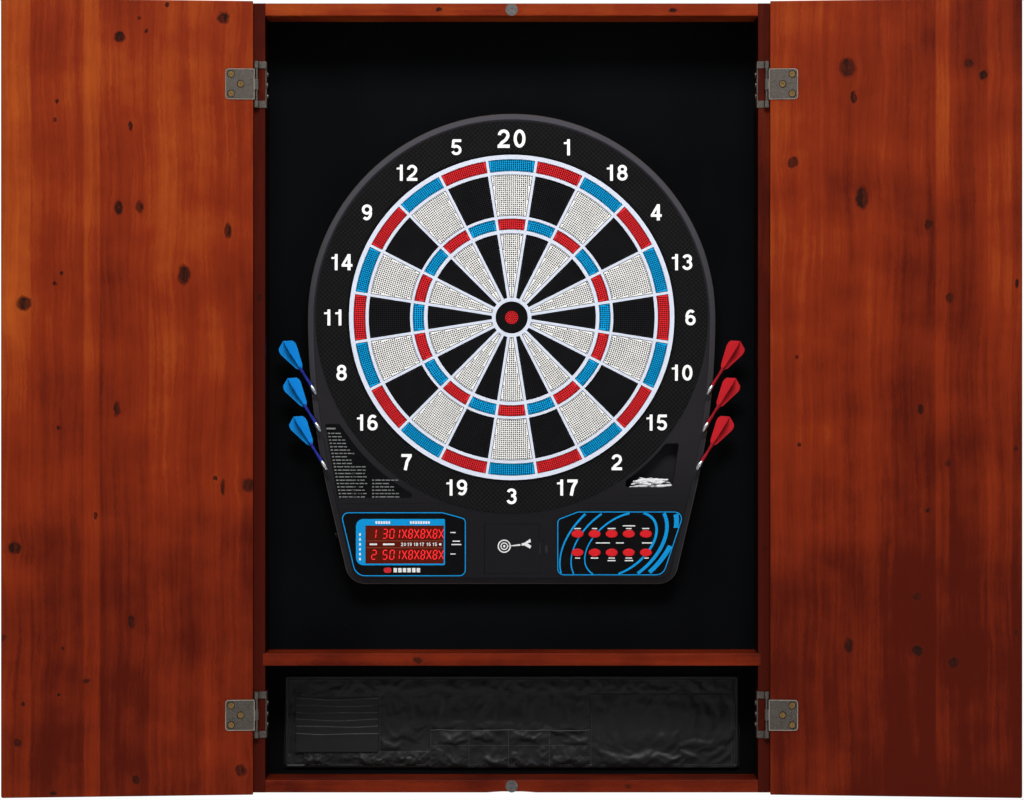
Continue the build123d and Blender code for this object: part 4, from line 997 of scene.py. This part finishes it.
# Lengths along a dart are from the mouth of its tube: the barrel stands out of it by BARREL_OUT.
DART_LEAN, DART_TILT, DART_DEPTH = math.radians(32.0), math.radians(2.0), 53.2
DART_ENTRIES = (("top", 237.3, 5.5), ("middle", 232.0, -39.5), ("bottom", 224.6, -86.0))
BARREL_OUT, BARREL_L, SHAFT_L, FLIGHT_L, TIP_L = 11.5, 51.0, 22.3, 41.0, 25.0
FIN = ((0.0, 0.0), (1.5, 0.0), (4.6, 4.5), (11.2, 28.5), (11.1, 32.5), (9.6, 35.8), (0.0, FLIGHT_L))


def lathe(shape, profile, sides=24):
    """A turned shape about +Z, from (radius, height) points with both ends closed."""
    rings = [[(x, y, height) for x, y in circle(0, 0, radius, sides)] for radius, height in profile]
    shape.loops(rings, cap_start=True, cap_end=True)


def placed(x_axis, y_axis, z_axis, origin):
    """Where a piece goes whose own axes point along these directions, from an origin in mm."""
    place = Matrix((x_axis, y_axis, z_axis)).transposed().to_4x4()
    place.translation = Vector(origin) * MM
    return place


def dart_place(side, entry_x, entry_z):
    """Turns a dart's own axes, with Z from point to flight, into the frame."""
    out = Vector((side * math.sin(DART_LEAN) * math.cos(DART_TILT), -math.sin(DART_TILT),
                  math.cos(DART_LEAN) * math.cos(DART_TILT)))
    across = Vector((math.cos(DART_LEAN), 0.0, -side * math.sin(DART_LEAN)))
    return placed(across, out.cross(across), out, (side * entry_x, -DART_DEPTH, entry_z))


def flight_shape():
    """Four fins with a thin pressed rim, crossing at the shaft."""
    shape = Shape()
    start = BARREL_OUT + SHAFT_L
    outline = [(r, h + start) for r, h in FIN[1:-1]] + [(0.0, FIN[-1][1] + start), (0.0, start)]
    middle = Vector((4.5, start + 21.0))
    for quarter in range(4):
        c, s = math.cos(math.pi / 2 * quarter), math.sin(math.pi / 2 * quarter)
        loops = []
        for shrink, half in ((1.0, 0.12), (0.985, 0.26), (0.9, 0.26), (0.88, 0.16)):
            loop = []
            for r, h in outline:
                p = middle + (Vector((r, h)) - middle) * shrink
                loop.append((max(p.x, 0.02), p.y, half))
            loops.append(loop)
        rings = [[(r, h, -t) for r, h, t in loop] for loop in reversed(loops)]
        rings += [[(r, h, t) for r, h, t in loop] for loop in loops]
        spun = [[(r * c - t * s, r * s + t * c, h) for r, h, t in loop] for loop in rings]
        shape.loops(spun, cap_start=True, cap_end=True)
    return shape


def barrel_profile():
    """A slim barrel with rounded grip rings."""
    low, high = BARREL_OUT - BARREL_L, BARREL_OUT
    profile = [(1.9, low), (2.5, low + 0.7), (2.8, low + 3.0)]
    z = low + 4.0
    while z < high - 8.0:
        profile += [(2.8, z), (2.45, z + 0.35), (2.45, z + 0.75), (2.8, z + 1.1)]
        z += 1.9
    return profile + [(2.8, high - 7.0), (2.8, high - 3.2), (2.3, high - 2.0), (2.1, high)]


SHAFT = ((2.3, 0.0), (2.3, 1.2), (1.9, 1.6), (1.8, 7.0), (2.0, 8.0), (1.6, 9.0), (1.5, 17.0), (1.9, 17.6),
         (1.9, SHAFT_L + 2.6), (1.1, SHAFT_L + 3.4))
POINT = ((0.45, -TIP_L), (0.75, 1.2 - TIP_L), (1.0, -12.0), (1.55, -6.0), (1.6, -2.2), (2.0, -1.8),
         (2.0, 0.0))
shaft_profile = [(radius, BARREL_OUT + along) for radius, along in SHAFT]
tip_profile = [(radius, BARREL_OUT - BARREL_L + along) for radius, along in POINT]
for side_name, side, slot, flight, shaft in (
    ("left", -1, "blue_dart", flight_blue, shaft_blue), ("right", 1, "red_dart", flight_red, shaft_red),
):
    for row, entry_x, entry_z in DART_ENTRIES:
        place = dart_place(side, entry_x, entry_z)
        body = f"{side_name}_dart_{row}"
        flight_shape().piece(f"flight_{side_name}_{row}", body, slot, flight, [f"dart_{side_name}_{row}"],
                             place=place)
        for part, profile, part_slot, material in (
            ("shaft", shaft_profile, slot, shaft),
            ("barrel", barrel_profile(), "zinc_screw", silver),
            ("tip", tip_profile, "tip_nylon", tip_white),
        ):
            turned_part = Shape()
            lathe(turned_part, profile)
            turned_part.piece(f"{part}_{side_name}_{row}", body, part_slot, material, smooth=35, place=place)

# A heap of spare tips.
shape = Shape()
TIP = [(0.45, -11.0), (0.9, -9.5), (1.2, -1.0), (1.9, 3.0), (2.0, 7.0), (2.0, 8.0), (1.3, 8.4), (1.3, 11.0)]
TIP_LAYERS = (  # height, count, and the two ends in x
    (-110.6, 9, 153.0, 183.5), (-106.9, 9, 152.0, 184.5), (-103.2, 8, 154.0, 185.0), (-99.6, 6, 157.0, 184.0),
)
for height, count, start, end in TIP_LAYERS:
    for i in range(count):
        tip = Shape()
        lathe(tip, TIP, 12)
        yaw = rng.choice((0.0, math.pi)) + rng.uniform(-0.5, 0.5)
        tilt = rng.uniform(-0.34, 0.34) if height > -100 else rng.uniform(-0.16, 0.16)
        turn = Matrix.Rotation(yaw, 3, "Z") @ Matrix.Rotation(math.pi / 2 + tilt, 3, "Y")
        x = start + (end - start) * rng.random()
        y = -42.5 - 10.5 * (i + 0.5) / count
        spun = [tuple(turn @ Vector(p) + Vector((x, y, height + rng.uniform(-0.3, 0.6)))) for p in tip.points]
        shape.add(spun, tip.faces)
shape.piece("spare_tip_heap", "cabinet", "tip_nylon", tip_white, ["spare_tips"], smooth=40)

# Painted highlights along the rims of the door leaves, and painted shadow round their screws.
PIN_X, PIN_DEPTH = 306.0, 115.0
OPEN = math.radians(171.0)
LEAF_FACE = 4.6  # from the pin to a door leaf's outer face
LEAF_SCREWS = ((31.0, 11.7), (31.0, -11.7), (19.5, 0.0))
for side_name, side in (("left", 1), ("right", -1)):
    across = Vector((math.cos(OPEN), -side * math.sin(OPEN), 0.0))
    out = Vector((side * math.sin(OPEN), math.cos(OPEN), 0.0))
    place = placed(across, out, Vector((0.0, 0.0, 1.0)), (-side * PIN_X, -PIN_DEPTH, 0.0))
    highlights, shadow_rings = Shape(), Shape()
    for hinge_z in (376.0, -380.0):
        corners = [(2.8, hinge_z + 18.4, 0.3), (37.8, hinge_z + 18.4, 4.0), (37.8, hinge_z - 18.4, 4.0),
                   (2.8, hinge_z - 18.4, 0.3)]
        corners = [(side * u, z, r) for u, z, r in corners]
        # Painted highlight: a bright band round each door leaf's rim.
        highlights.band(rounded(corners), rounded(corners, 0.75), -LEAF_FACE + 0.05, -LEAF_FACE - 0.12)
        for u, z in LEAF_SCREWS:
            # Painted shadow: a dark ring round each screw head.
            shadow_rings.band(circle(side * u, hinge_z + z, 4.5, 32), circle(side * u, hinge_z + z, 3.4, 32),
                       -LEAF_FACE + 0.05, -LEAF_FACE - 0.08)
    highlights.piece(f"hinge_highlights_{side_name}", f"{side_name}_door", "antique_hinge", hinge_rim_highlight, place=place)
    shadow_rings.piece(f"screw_shadow_paint_{side_name}", f"{side_name}_door", "antique_hinge", shadow_paint, place=place)

# The unused screw holes of the back panel are filled with black, as painted shade in the holes.
shape = Shape()
for x in (-203.2, 203.2):
    for z in (428.5, -276.5):
        shape.prism(circle(x, z, 2.45, 20), 2.0, 19.2)
shape.piece("painted_hole_fill", "cabinet", "black_hardboard", black)


# ================= organizer =================

def nylon(name, colour, sheen=0.06):
    """Woven nylon: a fine basket weave with a dull sheen."""
    s = Shader(name, **{"Sheen_Weight": sheen, "Sheen_Roughness": 0.35, "Specular_IOR_Level": 0.25})
    where = s.place()
    waves = [s.math("SINE", s.math("MULTIPLY", s.axis(where, axis), 2 * math.pi / 0.9)) for axis in (0, 2)]
    weave = s.math("MULTIPLY", waves[0], waves[1])
    cloud = s.noise(where, 0.05, 3.0, 0.6)
    s.colour(s.ramp(cloud, (0.3, tuple(0.8 * c for c in colour)), (0.7, tuple(1.25 * c for c in colour))))
    s.rough(s.span(weave, -1.0, 1.0, 0.4, 0.58))
    s.bump(weave, 0.03, 0.5)
    return s.material


nylon_black = nylon("nylon_black", (0.0026, 0.0027, 0.0029))
# Painted highlight: the hems are much lighter than the nylon they are rolled from.
nylon_hem_highlight = nylon("nylon_hem_highlight", (0.05, 0.05, 0.051))
thread = nylon("thread", (0.06, 0.06, 0.061))


def near(x, z, seam):
    """How far a point is from a seam, given as x, z, x, z."""
    ax, az, bx, bz = seam
    length = max(1e-6, (bx - ax) ** 2 + (bz - az) ** 2)
    t = max(0.0, min(1.0, ((x - ax) * (bx - ax) + (z - az) * (bz - az)) / length))
    return math.hypot(x - ax - t * (bx - ax), z - az - t * (bz - az))


def grid_sheet(x_range, z_range, pitch, depth_at):
    """A sheet of square cells. Its depth comes from depth_at(x, z)."""
    cols = round((x_range[1] - x_range[0]) / pitch)
    rows = round((z_range[1] - z_range[0]) / pitch)
    shape = Shape()
    loops = []
    for j in range(rows + 1):
        z = z_range[0] + (z_range[1] - z_range[0]) * j / rows
        xs = [x_range[0] + (x_range[1] - x_range[0]) * i / cols for i in range(cols + 1)]
        loops.append([(x, -depth_at(x, z), z) for x in xs])
    shape.loops(loops, closed=False)
    return shape


SETTLE_FRAMES = 25
SIDE_CAP, INWARD_CAP = 2.5, 0.25


def settle(piece, held, ease, puff, cap):
    """Lets a sheet buckle between its seams: it grows by ease, stays put where held, and moves out by
    at most cap millimetres."""
    group = piece.vertex_groups.new(name="held")
    group.add(held, 1.0, "REPLACE")
    rest = [v.co.copy() for v in piece.data.vertices]
    cloth = piece.modifiers.new("cloth", "CLOTH")
    settings = cloth.settings
    settings.quality = 6
    settings.mass = 0.05
    settings.tension_stiffness = 12.0
    settings.compression_stiffness = 12.0
    settings.shear_stiffness = 4.0
    settings.bending_stiffness = 0.02
    settings.air_damping = 3.0
    settings.shrink_min = -ease
    settings.vertex_group_mass = "held"
    settings.pin_stiffness = 1.0
    settings.use_pressure = True
    settings.uniform_pressure_force = puff
    settings.effector_weights.gravity = 0.04
    cloth.collision_settings.use_collision = False
    for frame_number in range(1, SETTLE_FRAMES + 1):
        bpy.context.scene.frame_set(frame_number)
    shaped = piece.evaluated_get(bpy.context.evaluated_depsgraph_get())
    moved = [v.co.copy() for v in shaped.data.vertices]
    piece.modifiers.remove(cloth)
    bpy.context.scene.frame_set(1)
    for vertex, start, end in zip(piece.data.vertices, rest, moved):
        shift = end - start
        out = max(-INWARD_CAP * MM, min(cap * MM, -shift.y))
        side = SIDE_CAP * MM
        vertex.co = start + Vector((max(-side, min(side, shift.x)), -out, max(-side, min(side, shift.z))))
    piece.vertex_groups.remove(group)


STITCH_L, STITCH_PITCH, STITCH_W = 2.1, 3.3, 0.55
HEM_R = 0.62


def stitch(shape, seam, depth):
    """A dashed line of thread along a seam."""
    ax, az, bx, bz = seam
    length = math.hypot(bx - ax, bz - az)
    ux, uz = (bx - ax) / length, (bz - az) / length
    for k in range(int(length / STITCH_PITCH)):
        start = STITCH_PITCH * (k + 0.2)
        rings = []
        for along, half in ((0.0, 0.3), (0.25, 1.0), (0.75, 1.0), (1.0, 0.3)):
            x = ax + ux * (start + STITCH_L * along)
            z = az + uz * (start + STITCH_L * along)
            thread_round = circle(0, 0, STITCH_W / 2 * half, 6)
            rings.append([(x - uz * across, -depth - out, z + ux * across) for across, out in thread_round])
        shape.loops(rings, cap_start=True, cap_end=True)


def hem_along(shape, points):
    """A rolled hem along a line of (x, depth, z) points."""
    rings = []
    for i, (x, depth, z) in enumerate(points):
        before, after = points[max(0, i - 1)], points[min(len(points) - 1, i + 1)]
        along = Vector((after[0] - before[0], before[1] - after[1], after[2] - before[2])).normalized()
        out = Vector((0.0, -1.0, 0.0))
        across = along.cross(out).normalized()
        out = across.cross(along).normalized()
        here = Vector((x, -depth, z))
        rings.append([tuple(here + u * across + v * out) for u, v in circle(0, 0, HEM_R, 6)])
    shape.loops(rings, cap_start=True, cap_end=True)


ORGANIZER_X, ORGANIZER_Z = (-277.0, 277.0), (-450.8, -338.2)
BACKING_DEPTH, FACE_DEPTH, POCKET_DEPTH = 20.7, 22.0, 24.4
BAND_TOP, BAND_LOW = -361.7, -431.0
SLIP_X = (-262.6, -162.5)
SLIP_TOPS = (-366.0, -374.0, -382.5, -391.5, -399.5, -408.5)
SMALL_XS = (-98.6, -52.1, -3.9, 46.0, 95.4)
SMALL_TOP, ELASTIC = -404.6, -423.3
BIG_X = (97.2, 272.1)
LOWER_BAND_X = (-253.0, -99.5)
BOTTOM = -450.0
WAVES = ((0.022, 0.036, 1.5), (0.05, 0.085, 0.7), (0.13, 0.2, 0.25))  # across, up, and size
SEAM_REACH = 9.0  # how far from a seam the waves grow to their full size

backing = grid_sheet(ORGANIZER_X, ORGANIZER_Z, 12.0, lambda x, z: BACKING_DEPTH)
backing = backing.piece("organizer_backing", "cabinet", "black_nylon", nylon_black, ["organizer"])
stitches, hems = Shape(), Shape()



def edge_seams(x_range, z_range):
    """The seams along a rectangle's four sides."""
    (a, b), (c, d) = x_range, z_range
    return [(a, c, b, c), (a, d, b, d), (a, c, a, d), (b, c, b, d)]


FACE_SEAMS = edge_seams(ORGANIZER_X, ORGANIZER_Z) + [
    (-272.0, -341.8, 272.0, -341.8), (-262.0, BAND_TOP, 272.0, BAND_TOP), (-268.0, -446.0, -268.0, -346.0),
    (-162.5, BAND_LOW, -162.5, BAND_TOP), (-98.6, BAND_LOW, -98.6, SMALL_TOP), (96.0, BOTTOM, 96.0, BAND_TOP),
    (273.5, BOTTOM, 273.5, -344.0), (LOWER_BAND_X[0], BAND_LOW, -99.0, BAND_LOW),
    (LOWER_BAND_X[0], -448.0, 272.0, -448.0), (LOWER_BAND_X[0], -448.0, LOWER_BAND_X[0], BAND_LOW),
]
COVERED = [(*SLIP_X, BAND_LOW, -367.0), (-98.6, 96.0, -450.8, SMALL_TOP - 3.0), (96.0, 277.0, -450.8, -364.0)]
jitter = random.Random(11)


def hidden(x, z, covered):
    return any(a < x < b and c < z < d for a, b, c, d in covered)


def soft_sheet(name, x_range, z_range, depth, pitch, seams, covered, ease, puff, cap):
    """A sheet that is stitched along its seams, hidden where covered, and slack between."""
    shape = grid_sheet(x_range, z_range, pitch, lambda x, z: depth + jitter.uniform(0.0, 0.12))
    piece = shape.piece(name, "cabinet", "black_nylon", nylon_black)
    held = []
    for vertex in piece.data.vertices:
        x, z = vertex.co.x / MM, vertex.co.z / MM
        if hidden(x, z, covered) or any(near(x, z, seam) < 0.6 * pitch for seam in seams):
            held.append(vertex.index)
    settle(piece, held, ease, puff, cap)
    for vertex in piece.data.vertices:
        x, z = vertex.co.x / MM, vertex.co.z / MM
        if hidden(x, z, covered):
            continue
        loose = min(1.0, min(near(x, z, seam) for seam in seams) / SEAM_REACH)
        wave = sum(size * noise.noise((x * fx + z * 0.02, z * fz, depth)) for fx, fz, size in WAVES)
        vertex.co.y -= loose * max(-0.6, wave) * MM
    piece.data.shade_smooth()
    width, length = (x_range[1] - x_range[0]) * MM, (z_range[1] - z_range[0]) * MM
    return piece, (width, length)


face, face_flat = soft_sheet("organizer_face", ORGANIZER_X, ORGANIZER_Z, FACE_DEPTH, 2.3, FACE_SEAMS, COVERED,
                             0.04, 0.3, 2.0)
SMALL_X = (SMALL_XS[0], SMALL_XS[-1])
SMALL_SEAMS = [(x, BOTTOM, x, SMALL_TOP) for x in SMALL_XS] + [
    (SMALL_X[0], BOTTOM, SMALL_X[1], BOTTOM), (SMALL_X[0], ELASTIC, SMALL_X[1], ELASTIC),
]
small, small_flat = soft_sheet("small_pockets", SMALL_X, (BOTTOM, SMALL_TOP), POCKET_DEPTH, 1.9, SMALL_SEAMS,
                               [], 0.05, 0.5, 2.6)
BIG_Z, LOWER_BAND_Z = (BOTTOM, BAND_TOP), (-448.0, BAND_LOW)
big, big_flat = soft_sheet("large_pocket", BIG_X, BIG_Z, POCKET_DEPTH, 2.3, edge_seams(BIG_X, BIG_Z), [],
                           0.022, 0.22, 2.4)
band, band_flat = soft_sheet("lower_band", LOWER_BAND_X, LOWER_BAND_Z, POCKET_DEPTH, 1.7,
                             edge_seams(LOWER_BAND_X, LOWER_BAND_Z), [], 0.07, 0.4, 2.0)


def bowed(top, x):
    """A slip pocket's top edge, which sags a little towards the middle."""
    t = (x - SLIP_X[0]) / (SLIP_X[1] - SLIP_X[0])
    return top - 1.3 * math.sin(math.pi * t) - 0.5 * math.sin(7.0 * t + top)


SLIP_ROWS, SLIP_COLS = 12, 40
for number, top in enumerate(SLIP_TOPS, 1):
    depth = FACE_DEPTH + 1.0 + 0.62 * number
    shape = Shape()
    loops = []
    for j in range(SLIP_ROWS + 1):
        share = j / SLIP_ROWS
        loop = []
        for i in range(SLIP_COLS + 1):
            x = SLIP_X[0] + (SLIP_X[1] - SLIP_X[0]) * i / SLIP_COLS
            swell = math.sin(math.pi * i / SLIP_COLS) ** 0.6
            z = BAND_LOW + (bowed(top, x) - BAND_LOW) * share
            ripple = 0.22 * math.sin(0.21 * x + 1.7 * number) * share ** 4
            loop.append((x, -(depth + swell * (0.25 + 0.5 * share ** 6) + ripple * swell), z))
        loops.append(loop)
    shape.loops(loops, closed=False)
    slip = shape.piece(f"slip_pocket_{number}", "cabinet", "black_nylon", nylon_black, smooth=80)
    hem_along(hems, [(x, -y, z) for x, y, z in loops[-1]])

# Stitching along the seams that show.
for seam, depth in (
    ((-270.0, -344.5, 272.0, -344.5), FACE_DEPTH), ((-262.0, BAND_TOP, 272.0, BAND_TOP), POCKET_DEPTH),
    ((-272.5, -446.0, -272.5, -344.5), FACE_DEPTH), ((-265.5, -429.0, -265.5, -364.0), FACE_DEPTH),
    ((272.1, -448.0, 272.1, -346.0), POCKET_DEPTH), ((268.0, -446.0, 268.0, -366.0), POCKET_DEPTH),
    ((97.2, -449.0, 97.2, -362.0), POCKET_DEPTH), ((-160.6, BAND_LOW, -160.6, BAND_TOP), FACE_DEPTH + 4.8),
    ((-253.0, BAND_LOW, -99.5, BAND_LOW), POCKET_DEPTH), ((-253.0, -447.0, 272.0, -447.0), POCKET_DEPTH),
    ((SMALL_XS[0], ELASTIC, SMALL_XS[-1], ELASTIC), POCKET_DEPTH),
):
    stitch(stitches, seam, depth + 0.15)
for x in SMALL_XS:
    stitch(stitches, (x, -449.0, x, SMALL_TOP), POCKET_DEPTH + 0.15)
stitches.piece("organizer_stitches", "cabinet", "black_nylon", thread, smooth=60)

# Rolled hems, lit by a painted highlight, on the pockets' open edges, and the binding round the organizer.
top_edge = sorted(tuple(v.co / MM) for v in small.data.vertices if v.co.z > (SMALL_TOP - 0.9) * MM)
hem_along(hems, [(x, -y, z) for x, y, z in top_edge])
hems.piece("pocket_hems", "cabinet", "black_nylon", nylon_hem_highlight, smooth=60)
shape = Shape()
(left, right), (low, high) = ORGANIZER_X, ORGANIZER_Z
corners = [(left, high, 4.0), (right, high, 4.0), (right, low, 4.0), (left, low, 4.0)]
ROLL = ((0.0, 20.4), (-0.4, 21.5), (0.3, 23.3), (1.6, 24.0), (3.6, 23.9), (4.6, 22.6))
shape.loops([flat(rounded(corners, inset), depth) for inset, depth in ROLL])
shape.piece("organizer_binding", "cabinet", "black_nylon", nylon_black, smooth=50)


# ================= camera, light and floor =================

scene = bpy.context.scene
scene.view_settings.view_transform = "Standard"
camera = bpy.data.objects.new("camera", bpy.data.cameras.new("camera"))
camera.data.sensor_width = 36.0
camera.data.lens = 164.06
camera.data.clip_end = 50.0
camera.location = (0.0004, -5.71, -0.0025)
camera.rotation_euler = (math.radians(90), 0, 0)
scene.collection.objects.link(camera)
scene.camera = camera


def area_light(name, where, aim, size, power):
    light = bpy.data.lights.new(name, "AREA")
    light.shape = "RECTANGLE"
    light.size, light.size_y = size
    light.energy = power
    holder = bpy.data.objects.new(name, light)
    holder.location = where
    holder.rotation_euler = (Vector(aim) - Vector(where)).to_track_quat("-Z", "Y").to_euler()
    scene.collection.objects.link(holder)


area_light("key", (0.0, -3.4, 2.9), (0.0, 0.0, 0.2), (2.2, 1.2), 230.0)
area_light("left", (-3.2, -2.6, 0.9), (0.0, 0.0, 0.0), (1.0, 2.0), 32.0)
area_light("right", (3.2, -2.6, 0.9), (0.0, 0.0, 0.0), (1.0, 2.0), 32.0)
area_light("behind", (0.0, 3.5, 2.0), (0.0, 0.0, 0.0), (2.5, 2.0), 60.0)

world = bpy.data.worlds.new("studio")
scene.world = world
world.use_nodes = True
tree = world.node_tree
lit_by = tree.nodes["Background"]
lit_by.inputs[0].default_value = (1.0, 1.0, 1.0, 1.0)
lit_by.inputs[1].default_value = 0.12
seen = tree.nodes.new("ShaderNodeBackground")
seen.inputs[0].default_value = (1.0, 1.0, 1.0, 1.0)
path = tree.nodes.new("ShaderNodeLightPath")
choose = tree.nodes.new("ShaderNodeMixShader")
tree.links.new(path.outputs["Is Camera Ray"], choose.inputs[0])
tree.links.new(lit_by.outputs[0], choose.inputs[1])
tree.links.new(seen.outputs[0], choose.inputs[2])
tree.links.new(choose.outputs[0], tree.nodes["World Output"].inputs[0])

floor_mesh = bpy.data.meshes.new("floor")
floor_mesh.from_pydata([(x, y, -0.8) for x, y in rectangle(0.0, -1.1, 5.0, 4.8)], [], [[0, 1, 2, 3]])
floor_mesh.materials.append(plastic("floor_pale", (0.8, 0.8, 0.79), 0.6, 0.02))
floor = bpy.data.objects.new("floor", floor_mesh)
scene.collection.objects.link(floor)
floor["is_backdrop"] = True

low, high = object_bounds()
